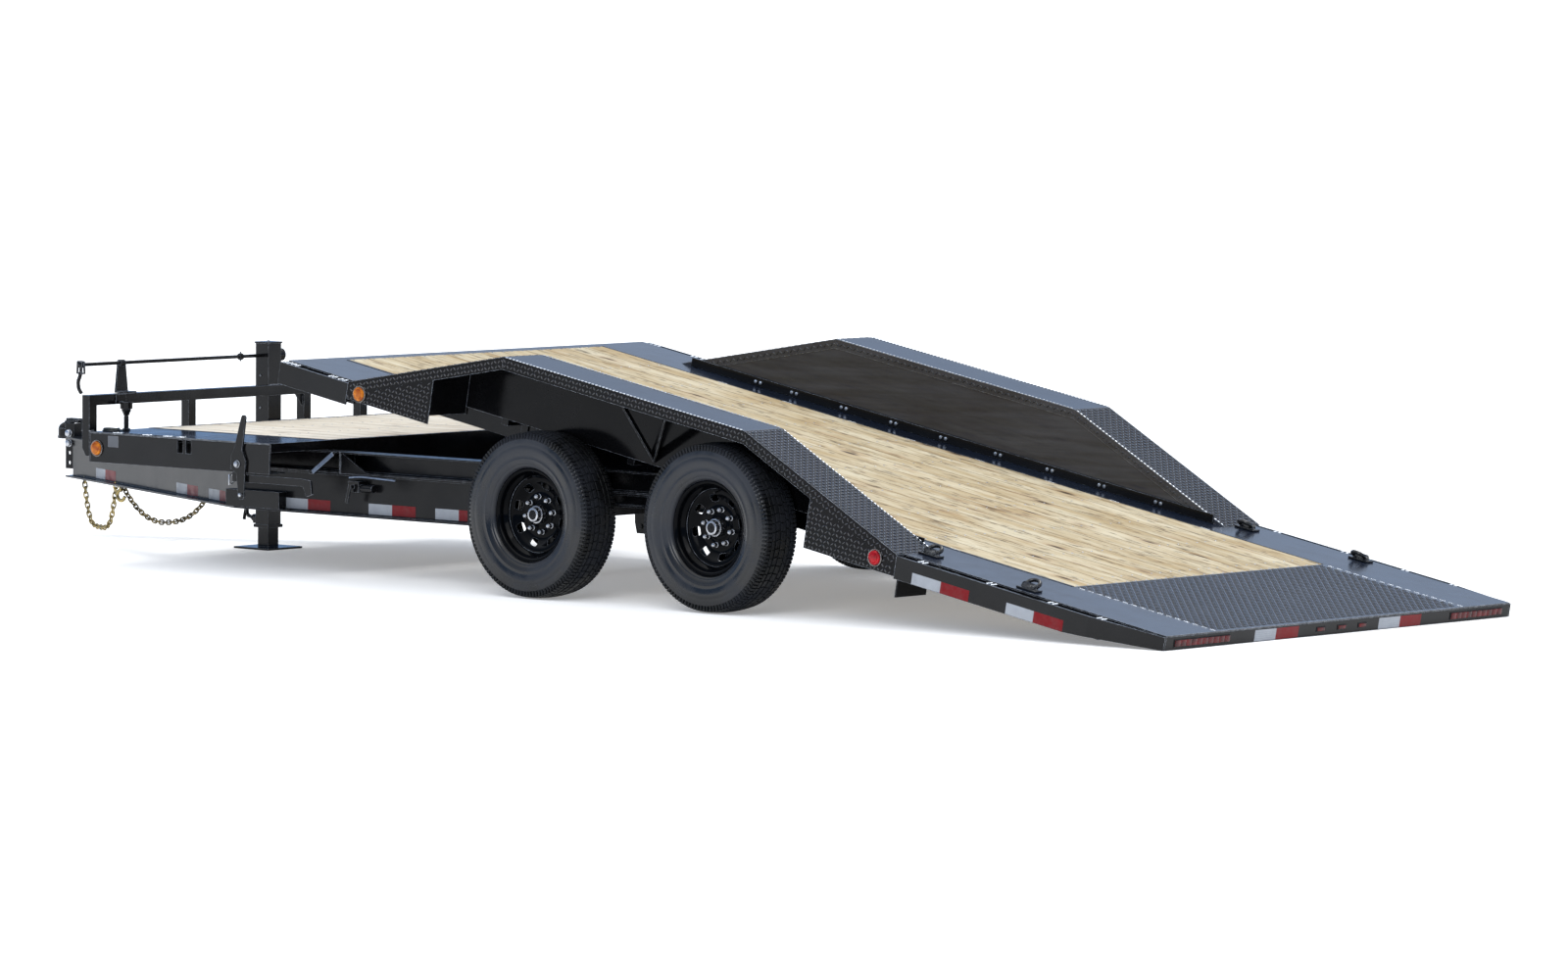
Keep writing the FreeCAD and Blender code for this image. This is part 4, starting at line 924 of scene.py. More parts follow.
def turned(name: str, section: Sequence[Pair], steps: int = 64) -> Piece:
    """Spin a closed section round the Y axis.

    Args:
        name: Name of the piece.
        section: Radius and place along Y of each corner, in millimetres.
        steps: Steps round the axis.

    Returns:
        The piece, closed, its faces outward.
    """
    piece = primitive(name, "circle", vertices=len(section), radius=0.1, fill_type="NOTHING")
    for vertex, (radius, y) in zip(piece.data.vertices, section):
        vertex.co = mm(0.0, y, radius)
    with editing():
        bpy.ops.mesh.spin(steps=steps, angle=math.tau, center=(0, 0, 0), axis=(0, 1, 0))
        bpy.ops.mesh.select_all(action="SELECT")
        bpy.ops.mesh.remove_doubles(threshold=1e-5)
        face_outward()
    return piece


def bent_line(name: str, points: Sequence[Vector], radius: float, closed: bool = False, sides: int = 4,
              steps: int = 5) -> Piece:
    """A round line bent smoothly through points, as a curve.

    Args:
        name: Name of the piece.
        points: Control points of the bend.
        radius: Radius of the line.
        closed: Whether it joins its own start.
        sides: Steps of a quarter of its roundness.
        steps: Steps between two points.

    Returns:
        The curve.
    """
    curve = bpy.data.curves.new(name, "CURVE")
    curve.dimensions = "3D"
    curve.bevel_depth = radius
    curve.bevel_resolution = sides
    curve.use_fill_caps = not closed
    spline = curve.splines.new("NURBS")
    spline.points.add(len(points) - 1)
    for point, place in zip(spline.points, points):
        point.co = (*place, 1.0)
    spline.order_u = 3
    spline.use_endpoint_u = not closed
    spline.use_cyclic_u = closed
    spline.resolution_u = steps
    return shown(name, curve)


def tube(name: str, points: Sequence[Vector], radius: float, closed: bool = False) -> Piece:
    """A bent round bar as a mesh.

    Args:
        name: Name of the piece.
        points: Control points of the bend.
        radius: Radius of the bar.
        closed: Whether it joins its own start.

    Returns:
        The piece.
    """
    only(bent_line(name, points, radius, closed))
    bpy.ops.object.convert(target="MESH")
    return named(name)


def copies(name: str, source: Piece, places: Sequence[Matrix]) -> Piece:
    """Copy a piece to many places as one mesh, and take the first away.

    Args:
        name: Name of the whole.
        source: The piece that is copied.
        places: Where each copy goes.

    Returns:
        The whole as one piece.
    """
    corners = [vertex.co.copy() for vertex in source.data.vertices]
    faces = [tuple(face.vertices) for face in source.data.polygons]
    flat = [face.use_smooth for face in source.data.polygons]
    points: list[Vector] = []
    rings: list[tuple[int, ...]] = []
    for place in places:
        first = len(points)
        points += [place @ corner for corner in corners]
        order = -1 if place.determinant() < 0 else 1
        rings += [tuple(first + i for i in face[::order]) for face in faces]
    mesh = bpy.data.meshes.new(name)
    mesh.from_pydata(points, [], rings)
    mesh.polygons.foreach_set("use_smooth", flat * len(places))
    bpy.data.objects.remove(source)
    return shown(name, mesh)


def twin(piece: Piece, turn: Matrix) -> Piece:
    """Copy a piece with its mesh.

    Args:
        piece: The piece.
        turn: How the copy's mesh is moved.

    Returns:
        The copy.
    """
    other = piece.copy()
    other.data = piece.data.copy()
    bpy.context.scene.collection.objects.link(other)
    other.data.transform(turn)
    return other


def joined(name: str, pieces: Sequence[Piece]) -> Piece:
    """Join pieces into one object.

    Args:
        name: Name of the whole.
        pieces: The pieces.

    Returns:
        The whole.
    """
    bpy.ops.object.select_all(action="DESELECT")
    for piece in pieces:
        piece.select_set(True)
    bpy.context.view_layer.objects.active = pieces[0]
    if len(pieces) > 1:
        bpy.ops.object.join()
    return named(name)


def coat(piece: Piece, finish: Finish) -> None:
    """Give a piece its finish.

    Args:
        piece: The piece.
        finish: Its finish.
    """
    piece.data.materials.clear()
    piece.data.materials.append(finish.material())
    log.info("%s has %s", piece.name, finish.name)


def dress(piece: Piece, finish: Finish, body: str, *stands_for: str) -> None:
    """Give a piece its finish and body.

    Args:
        piece: The piece.
        finish: Its finish.
        body: The CAD body that it rides on.
        stands_for: CAD nodes that it replaces.
    """
    coat(piece, finish)
    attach(piece, body)
    if stands_for:
        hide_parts(*stands_for)


# Parts of the trailer


@dataclass
class CadFinishes:
    """Finishes of the nodes that are shown as they are packed."""

    plan: tuple[tuple[Finish, str], ...] = (
        (UNDER, "main_rail_left main_rail_right frame_risers frame_crossmembers pivot_pins coupler_channel"
                " axle_front axle_rear tilt_rails tilt_crossmembers"),
        (BLACK, "front_deck_frame headboard jack_housing jack_leg rear_bumper fender_braces rub_rails_left"
                " rub_rails_right latch_lever latch_linkage cushion_valve cylinder_barrel coupler jack_crank"
                " tie_down_rings plug_holder"),
        (PLATE, "front_deck_plates deck_plates tail_plate"),
        (FENDER, "fender_left fender_right"),
        (BED_PINE, "tilt_deck_boards"),
        (FRONT_PINE, "front_deck_boards"),
        (SILVER, "cylinder_rod"),
        (GOLD_ZINC, "safety_chain_left safety_chain_right"),
        (PLUG_RUBBER, "wiring_plug plug_loom cable_clamp"),
        (CABLE, "breakaway_coil breakaway_cable"),
        (AMBER, "front_markers"),
        (RED, "fender_markers tail_lamps"),
        (RUBBER, "tyre_front_left tyre_front_right tyre_rear_left tyre_rear_right"),
        (WHEEL_PAINT, "wheel_front_left wheel_front_right wheel_rear_left wheel_rear_right"),
    )

    def build(self) -> None:
        """Dress every node."""
        for finish, nodes in self.plan:
            for node in nodes.split():
                coat(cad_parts[node], finish)


@dataclass
class RoadWheels:
    """Four tyres with tread, on slotted steel wheels with hub caps and lug nuts."""

    # Name, place along X and roll of each pair of wheels
    axles: tuple[tuple[str, float, float], ...] = (("front", 555.0, 0.13), ("rear", -555.0, -0.21))
    track_half: float = 1170.0
    axle_z: float = 388.0
    tyre_radius: float = 388.0
    tread_depth: float = 9.0
    crown: float = 0.0009
    pitches: int = 60
    # Both edges across the tyre, start and length in pitches, and skew of each block of tread
    tread_rows: tuple[tuple[float, ...], ...] = (
        (-15, 15, 0.0, 0.90, 5.0), (23, 44, 0.3, 0.88, -6.0), (-44, -23, 0.3, 0.88, 6.0), (52, 68, 0.0, 0.90, 3.0),
        (-68, -52, 0.0, 0.90, -3.0), (72, 97, 0.0, 0.34, 2.0), (72, 97, 0.5, 0.34, 2.0),
        (-97, -72, 0.0, 0.34, -2.0), (-97, -72, 0.5, 0.34, -2.0))
    slot_circle: float = 136.0
    slot_size: Pair = (33.0, 44.0)
    slot_count: int = 8
    lug_circle: float = 82.5
    lug_count: int = 8

    def tread_radius(self, y: float) -> float:
        """Radius of the tread's top at a place across it."""
        return self.tyre_radius - self.crown * y * y

    def carcass(self) -> Piece:
        """The tyre without its tread blocks, sidewalls ringed.

        Returns:
            The piece.
        """
        outer = [(204, 73), (217, 75), (219, 79), (222, 88), (228, 92), (232, 95), (235, 95), (238, 98), (250, 103),
                 (256, 104.2), (259, 106.4), (262, 106.6), (264, 105.6), (280, 108.6), (300, 110.6), (318, 110.8),
                 (321, 109.6), (326, 109.8), (340, 109.0), (352, 107), (354, 104.4), (362, 102), (370, 98), (374, 92)]
        outer += [(self.tread_radius(y) - self.tread_depth, y) for y in (78, 50, 25)]
        inner = [(206, -57), (224, -64), (256, -89), (340, -93), (364, -74)]
        section = (outer + [(self.tread_radius(0) - self.tread_depth, 0.0)] + mirrored(outer) + inner + [(370, 0)]
                   + mirrored(inner))
        return smooth(turned("tyre_carcass", section, 96), 40)

    def tread_block(self, y0: float, y1: float, start: float, length: float, skew: float) -> Piece:
        """One block of tread near the top of the tyre.

        Args:
            y0: One edge across the tyre.
            y1: The other edge.
            start: Where it starts round the tyre.
            length: Its length round the tyre.
            skew: How far its far edge is moved along.

        Returns:
            The block, its top inset and its base open to the carcass.
        """
        piece = primitive("tread_block", "plane", size=1.0)
        corners = ((start, y0), (start + length, y0), (start + skew, y1), (start + length + skew, y1))
        for vertex, (x, y) in zip(piece.data.vertices, corners):
            vertex.co = mm(x, y, self.tread_radius(y) - self.tread_depth - 0.4)
        with editing():
            extrude(0, 0, self.tread_depth - 0.8)
            bpy.ops.mesh.inset(thickness=0.0011, depth=0.0011)
        return piece

    def tread(self) -> Piece:
        """All blocks and shoulder lugs: one pitch, bent and copied round the tyre.

        Returns:
            The piece.
        """
        pitch = math.tau * self.tyre_radius / self.pitches
        pieces = [self.tread_block(y0, y1, pitch * start, pitch * length, skew)
                  for y0, y1, start, length, skew in self.tread_rows]
        for side in SIDES:
            low, high = mm(-5.5, side * 95.5 - 3, 352), mm(5.5, side * (95.5 + 9) + 3, 371.5)
            lug = block("shoulder_lug", low, high, 0.0012, 1)
            pieces += [lug, twin(lug, Matrix.Rotation(math.tau / self.pitches / 2, 4, "Y"))]
        one = joined("tread_pitch", pieces)
        for vertex in one.data.vertices:
            turn, radius = vertex.co.x / (self.tyre_radius * MM), vertex.co.z
            vertex.co = (radius * math.sin(turn), vertex.co.y, radius * math.cos(turn))
        with editing():
            face_outward()
        return copies("tyre_tread", one, ring(self.pitches, 0.0))

    def rim(self) -> Piece:
        """The rolled rim, its flanges turned over at the edge.

        Returns:
            The piece.
        """
        out = [(216, 77), (218, 75.5), (218, 73), (216, 71.5), (211, 71), (207, 69.5), (204, 66), (203, 60), (203, 51),
               (199, 46), (188, 40), (184, 35)]
        into = [(178, 32), (181, 38), (193, 46), (197, 52), (197, 62), (199, 70), (203, 75), (209, 78), (214, 78.3)]
        return smooth(turned("rim", out + mirrored(out) + mirrored(into) + into, 96), 40)

    def slotted_disc(self) -> Piece:
        """The wheel's disc with its slots cut and their edges rounded.

        Returns:
            The piece.
        """
        face = [(181, 27), (172, 27.5), (163, 27), (154, 23.5), (146, 17), (136, 11), (126, 5.5), (119, 2), (112, 0.5),
                (98, 1.5), (92, 2.5), (72, 2.5), (66, 1), (58, 3.5), (52, 6.5), (40, 7)]
        disc = turned("slotted_disc", face + [(radius, y - 7) for radius, y in reversed(face)], 96)
        length, breadth = self.slot_size
        cutter = block("slot_cutter", mm(-breadth / 2, -40, -length / 2), mm(breadth / 2, 60, length / 2), 0.0)
        round_edges(cutter, lambda a, b: abs(a.y - b.y) > 0.05, 0.010, 4)
        cutters = copies("slot_cutters", cutter, ring(self.slot_count, self.slot_circle, 0.5))
        apply(disc, "BOOLEAN", operation="DIFFERENCE", solver="EXACT", object=cutters)
        bpy.data.objects.remove(cutters)
        apply(disc, "BEVEL", width=0.0012, segments=2, limit_method="ANGLE", angle_limit=math.radians(50))
        return smooth(disc, 40)

    def lug_nuts(self) -> Piece:
        """Cone-seat nuts with domed ends.

        Returns:
            The piece.
        """
        one = joined("lug_nut", drums((("nut_seat", (0, 1, 0), (0, 7, 0), 0.0135, 18, 0.003),
                                       ("nut", (0, 5, 0), (0, 27, 0), 0.0115, 6, 0.002),
                                       ("stud", (0, 26, 0), (0, 31, 0), 0.009, 14, 0.0035, 3)), mm))
        return smooth(copies("lug_nuts", one, ring(self.lug_count, self.lug_circle)), 30)

    def hub(self) -> tuple[Piece, Piece]:
        """The hub's silver cap, and its rubber plug.

        Returns:
            Both pieces.
        """
        cap = [(0.01, 4), (42, 4), (42, 36), (40.5, 38.5), (36, 39), (35, 41), (34.4, 56), (32, 60.5), (28, 62),
               (23, 62), (22.5, 60), (0.01, 60)]
        plug = [(0.01, 59), (22, 59), (22.4, 63), (20, 65.5), (15, 66), (14, 64.8), (9, 64.8), (8, 67.5), (0.01, 68)]
        return smooth(turned("hub_cap", cap, 40), 35), smooth(turned("hub_plug", plug, 32), 35)

    def valve(self) -> Piece:
        """The valve stem in the rim's well."""
        return joined("valve", drums((("valve_stem", (0, 40, 176), (0, 72, 168), 0.0045, 12, 0.001),
                                      ("valve_cap", (0, 68, 169), (0, 80, 166), 0.0055, 12, 0.0015)), mm))

    def build(self) -> None:
        """Make one wheel and copy it to the four corners."""
        hub_cap, hub_plug = self.hub()
        parts = ((self.carcass(), RUBBER, "tyre"),
                 (self.tread(), TREAD_RUBBER, ""),
                 (joined("steel_wheel", [self.rim(), self.slotted_disc()]), WHEEL_PAINT, "wheel"),
                 (joined("nuts_and_cap", [self.lug_nuts(), hub_cap]), NUT_ZINC, ""),
                 (joined("plug_and_valve", [hub_plug, self.valve()]), CASE, ""))
        for side in Side:
            for place, x, roll in self.axles:
                corner = f"{place}_{side.word}"
                spot = Matrix.Translation(at(x, side.value * self.track_half, self.axle_z)) @ side.turn
                for source, finish, kind in parts:
                    piece = twin(source, spot @ Matrix.Rotation(roll, 4, "Y"))
                    piece.name = f"{source.name}_{corner}"
                    dress(piece, finish, "wheel_" + corner, *([f"{kind}_{corner}"] if kind else []))
        for source, _, _ in parts:
            bpy.data.objects.remove(source)


@dataclass
class DiamondTread:
    """Raised bars of the tread plate: on the tail plate, ramps, skirts and lips."""

    pitch: float = 22.0
    bar_length: float = 22.0
    bar_width: float = 7.6
    bar_height: float = 3.2
    plate_half: float = 892.0
    tail_x: Pair = (-3250.0, -2430.0)
    top_z: float = 640.0
    # X and Z of the fenders' rear foot, rear top, front top and front foot
    profile: tuple[Pair, ...] = ((-1730.0, 640.0), (-745.0, 976.0), (775.0, 976.0), (1735.0, 640.0))
    inner_y: float = 1042.0
    outer_y: float = 1295.0
    lip: float = 60.0
    inner_lip: float = 45.0
    # End along X and lower edge of the front and the rear skirt
    skirts: tuple[Pair, Pair] = ((1195.0, 560.0), (-1185.0, 540.0))

    def bar(self) -> Piece:
        """One raised bar with its point at each end.

        Returns:
            The piece.
        """
        piece = primitive("tread_bar", "circle", vertices=6, radius=1.0, fill_type="NGON")
        half, wide = self.bar_length / 2, self.bar_width / 2
        bend = half * 0.45
        outline = ((half, 0.0), (bend, wide), (-bend, wide), (-half, 0.0), (-bend, -wide), (bend, -wide))
        for vertex, (x, y) in zip(piece.data.vertices, outline):
            vertex.co = mm(x, y, -0.2)
        with editing():
            extrude(0, 0, self.bar_height)
            bpy.ops.transform.resize(value=(0.74, 0.45, 1.0))
            face_outward()
        return piece

    def patch(self, corner: Vector, along: Vector, across: Vector, outline: Sequence[Pair]) -> Places:
        """Places of the bars inside an outline on a flat sheet.

        Args:
            corner: Origin of the sheet.
            along: First direction on the sheet.
            across: Second direction on the sheet.
            outline: Corners as millimetres along and across, counter-clockwise and convex.

        Returns:
            A matrix for each bar, every second one turned a quarter.
        """
        u, v = along.normalized(), across.normalized()
        turn = axes(u, v, u.cross(v))
        margin = self.bar_length * 0.30
        sides = list(zip(outline, (*outline[1:], outline[0])))

        def inside(a: float, b: float) -> bool:
            """Whether a place is far enough from every side."""
            return all(((a1 - a0) * (b - b0) - (b1 - b0) * (a - a0)) / math.hypot(a1 - a0, b1 - b0) > margin
                       for (a0, b0), (a1, b1) in sides)

        places = []
        for i in range(int(max(a for a, _ in outline) / self.pitch) + 1):
            for j in range(int(max(b for _, b in outline) / self.pitch) + 1):
                a, b = (i + 0.5) * self.pitch, (j + 0.5) * self.pitch
                if inside(a, b):
                    quarter = math.radians(45 if (i + j) % 2 else -45)
                    place = Matrix.Translation(corner + u * a * MM + v * b * MM) @ turn
                    places.append(place @ Matrix.Rotation(quarter, 4, "Z"))
        return places

    def band(self, corner: Vector, along: Vector, across: Vector, length: float, width: float) -> Places:
        """Places of the bars on a plain rectangle, centred in it.

        Args:
            corner: Its first corner.
            along: Direction of its length.
            across: Direction of its width.
            length: Its length in millimetres.
            width: Its width in millimetres.

        Returns:
            A matrix for each bar.
        """
        spare = (width - max(1, int(width / self.pitch)) * self.pitch) / 2
        start = corner + across.normalized() * spare * MM
        return self.patch(start, along, across, rectangle(0, -spare - 5, length, width - spare + 5))

    def ramp_places(self, s: int) -> Places:
        """Places on the ramps of one side, on the level bed.

        Args:
            s: 1 for the left side, -1 for the right.

        Returns:
            A matrix for each place.
        """
        rear_foot, rear_top, front_top, front_foot = self.profile
        places: Places = []
        for (x0, z0), (x1, z1) in ((rear_foot, rear_top), (front_foot, front_top)):
            along, across, edge = at(x1, 0, z1) - at(x0, 0, z0), Vector((0, s, 0)), self.inner_y
            if along.cross(across).z < 0:
                edge, across = self.outer_y, -across
            length = math.hypot(x1 - x0, z1 - z0) - 4
            places += self.band(at(x0, s * edge, z0), along, across, length, self.outer_y - self.inner_y)
        return places

    def lip_places(self, s: int) -> Places:
        """Places on the outer lips and the inner strips of one side, on the level bed.

        Args:
            s: 1 for the left side, -1 for the right.

        Returns:
            A matrix for each place.
        """
        rear_foot, rear_top, front_top, front_foot = self.profile
        places: Places = []
        for (x0, z0), (x1, z1) in ((rear_foot, rear_top), (front_top, front_foot), (rear_top, front_top)):
            for y, depth, out in ((self.outer_y, self.lip, s), (self.inner_y - 5, self.inner_lip, -s)):
                start, along = at(x0, s * y, z0), at(x1, 0, z1) - at(x0, 0, z0)
                down = Vector((0, 1, 0)).cross(along).normalized()
                if along.cross(down).y * out < 0:
                    start, along = at(x1, s * y, z1), -along
                places += self.band(start + down * 0.005, along, down, math.hypot(x1 - x0, z1 - z0), depth - 8)
        return places

    def skirt_places(self, s: int) -> Places:
        """Places on the skirts below the ramps of one side, on the level bed.

        Args:
            s: 1 for the left side, -1 for the right.

        Returns:
            A matrix for each place.
        """
        rear_foot, rear_top, front_top, front_foot = self.profile
        places: Places = []
        for (foot, _), (top, top_z), (edge, low) in ((front_foot, front_top, self.skirts[0]),
                                                     (rear_foot, rear_top, self.skirts[1])):
            length = abs(edge - foot)
            foot_high = self.top_z - self.lip - low
            edge_high = self.top_z + (top_z - self.top_z) * length / abs(top - foot) - self.lip - low
            ends = [(foot, foot_high), (edge, edge_high)]
            if (edge - foot) * s > 0:
                ends.reverse()
            (start, first), (end, last) = ends
            along = Vector((math.copysign(1.0, end - start), 0, 0))
            outline = ((0, 0), (length, 0), (length, last), (0, first))
            places += self.patch(at(start, s * self.outer_y, low), along, UP, outline)
        return places

    def fold_gleams(self) -> None:
        """Painted glints: bright bar ends along the folds of the fenders' flat tops and ramps."""
        bead = block("fold_gleam", mm(-6.5, -3.4, -2.0), mm(6.5, 3.4, 2.4), 0.0016)
        places: Places = []
        for side in SIDES:
            for y, runs in ((self.outer_y, (1,)), (self.inner_y - 1.0, (0, 1))):
                for run in runs:
                    (x0, z0), (x1, z1) = self.profile[run:run + 2]
                    slope = Matrix.Rotation(math.atan2(z0 - z1, x1 - x0), 4, "Y")
                    count = int(math.hypot(x1 - x0, z1 - z0) / self.pitch)
                    for i in range(1, count):
                        spot = at(x0 + (x1 - x0) * i / count, side * y, z0 + (z1 - z0) * i / count + 1.0)
                        places.append(BED_TURN @ Matrix.Translation(spot) @ slope)
        dress(copies("fold_gleams", bead, places), GLEAM, "tilt_bed")

    def build(self) -> None:
        """Lay the bars on the tail plate and both fenders."""
        self.fold_gleams()
        rows = [("tail_plate_tread", self.patch(
            at(self.tail_x[0], -self.plate_half, self.top_z), Vector((1, 0, 0)), Vector((0, 1, 0)),
            rectangle(6, 6, self.tail_x[1] - self.tail_x[0] - 6, 2 * self.plate_half - 6)))]
        for side in Side:
            s = side.value
            rows.append((f"fender_tread_{side.word}", self.ramp_places(s) + self.lip_places(s) + self.skirt_places(s)))
        for name, places in rows:
            dress(copies(name, self.bar(), [BED_TURN @ place for place in places]), TREAD, "tilt_bed")


@dataclass
class SafetyChains:
    """Round-wire links along the two hanging chains."""

    wire: float = 8.5
    pitch: float = 26.2
    play: float = 1.1
    steps: int = 40
    hang: float = 272.0
    # Side, X of the start, side of the tongue there, X of the end, lowest point, bluntness of the loop, finish
    rows: tuple[tuple[str, float, int, float, float, float, Finish], ...] = (
        ("left", 4700.0, 1, 4300.0, 62.0, 4.0, GOLD_ZINC), ("right", 4217.0, -1, 4180.0, 92.0, 2.4, DARK_ZINC))

    def link(self, inside: float) -> Piece:
        """One link: a ring of round wire drawn out along X.

        Args:
            inside: Its length inside in millimetres.

        Returns:
            The link.
        """
        narrow = self.wire * 1.8 - self.wire / 2
        piece = primitive("chain_link", "torus", major_segments=20, minor_segments=8, major_radius=narrow * MM,
                          minor_radius=self.wire / 2 * MM)
        move = (inside / 2 + self.wire / 2 - narrow) * MM
        for sign in SIDES:
            pick_nothing()
            for vertex in piece.data.vertices:
                vertex.select = vertex.co.x * sign > 1e-4
            with editing(""):
                bpy.ops.transform.translate(value=(move * sign, 0, 0))
        return smooth(piece, 60)

    def run(self, start: Pair, end: Pair, low: float, power: float) -> tuple[Places, float]:
        """Places of the links of one hanging chain.

        Args:
            start: X and Y where it leaves the rail.
            end: X and Y where it comes back to a rail.
            low: Height of its lowest point in millimetres.
            power: How blunt the loop is.

        Returns:
            The places, and the pitch that fits the length.
        """
        points = []
        for i in range(self.steps + 1):
            t = i / self.steps
            height = low + (self.hang - low) * abs(2 * t - 1) ** power
            points.append(Vector((*(a + (b - a) * t for a, b in zip(start, end)), height)))
        span = points[-1] - points[0]
        level = Vector((-span.y, span.x, 0)).normalized()
        lengths = [(b - a).length for a, b in zip(points, points[1:])]
        count = int(sum(lengths) / self.pitch)
        pitch = sum(lengths) / count
        places = []
        for i in range(-1, count + 1):
            left = (i + 0.5) * pitch
            k = 0
            while k < len(lengths) - 1 and left > lengths[k]:
                left -= lengths[k]
                k += 1
            along = (points[k + 1] - points[k]).normalized()
            across = level if i % 2 == 0 else along.cross(level).normalized()
            middle = points[k] + along * left
            places.append(Matrix.Translation(at(*middle)) @ axes(along, across, along.cross(across)))
        return places, pitch

    def build(self) -> None:
        """Hang both chains."""
        for side, x0, sign, x1, low, power, finish in self.rows:
            places, pitch = self.run((x0, sign * tongue_y(x0)), (x1, tongue_y(x1)), low, power)
            links = copies(f"safety_chain_{side}_links", self.link(pitch + self.play), places)
            dress(links, finish, "frame", f"safety_chain_{side}")


@dataclass
class TapeStrips:
    """Red and white reflective tape along the rails, outer bars and bumper."""

    height: float = 51.0
    thickness: float = 0.4
    rail_y: float = 961.6
    rail_low: float = 306.0
    bar_y: float = 1295.05
    bar_low: float = 531.5
    bumper_x: float = -3251.05
    bumper_low: float = 577.0
    # Front end, middle and rear end of each pair along the rails, white part first
    tongue: tuple[Triple, ...] = ((4545.0, 4425.0, 4292.0), (3524.0, 3391.0, 3259.0), (3127.0, 2996.0, 2925.0))
    rail: tuple[Triple, ...] = ((2441.0, 2282.0, 2131.0), (1876.0, 1721.0, 1566.0), (1437.0, 1284.0, 1227.0))
    bar: tuple[Triple, ...] = ((-1835.0, -2004.0, -2171.0), (-2388.0, -2548.0, -2718.0))
    bumper: tuple[Triple, ...] = ((620.0, 470.0, 310.0), (-270.0, -425.0, -580.0))

    def strip(self, start: Vector, end: Vector, out: Vector, turn: Matrix) -> Piece:
        """One strip of tape on an upright face.

        Args:
            start: Lower corner at one end.
            end: Lower corner at the other end.
            out: Direction away from the face.
            turn: Turn of the deck that it is on.

        Returns:
            The strip, its edges thinned.
        """
        run = end - start
        size = Vector((run.length, self.height * MM, self.thickness * MM))
        strip = block("tape", Vector((0, 0, 0)), size, 0.00015, 1)
        place = axes(run.normalized(), UP, out)
        strip.data.transform(turn @ Matrix.Translation(start) @ place)
        if place.determinant() < 0:
            strip.data.flip_normals()
        return strip

    def build(self) -> None:
        """Stick all strips on, one piece for each body and colour."""
        strips: dict[tuple[str, Finish], list[Piece]] = {}

        def lay(body: str, ends: Sequence[Vector], out: Vector) -> None:
            """Lay a white and a red strip end to end."""
            for finish, start, end in zip((WHITE_TAPE, RED_TAPE), ends, ends[1:]):
                strips.setdefault((body, finish), []).append(self.strip(start, end, out, TURNS[body]))

        for side in SIDES:
            for row in self.tongue:
                ends = [at(x, side * (tongue_y(x) + 3.8), self.rail_low) for x in row]
                run = ends[2] - ends[0]
                lay("frame", ends, Vector((run.y * side, -run.x * side, 0)).normalized())
            for body, rows, y, z in (("frame", self.rail, self.rail_y, self.rail_low),
                                     ("tilt_bed", self.bar, self.bar_y, self.bar_low)):
                for row in rows:
                    lay(body, [at(x, side * y, z) for x in row], Vector((0, side, 0)))
        for row in self.bumper:
            lay("tilt_bed", [at(self.bumper_x, y, self.bumper_low) for y in row], Vector((-1, 0, 0)))
        for (body, finish), pieces in strips.items():
            dress(joined(f"{finish.name}_{body}", pieces), finish, body)


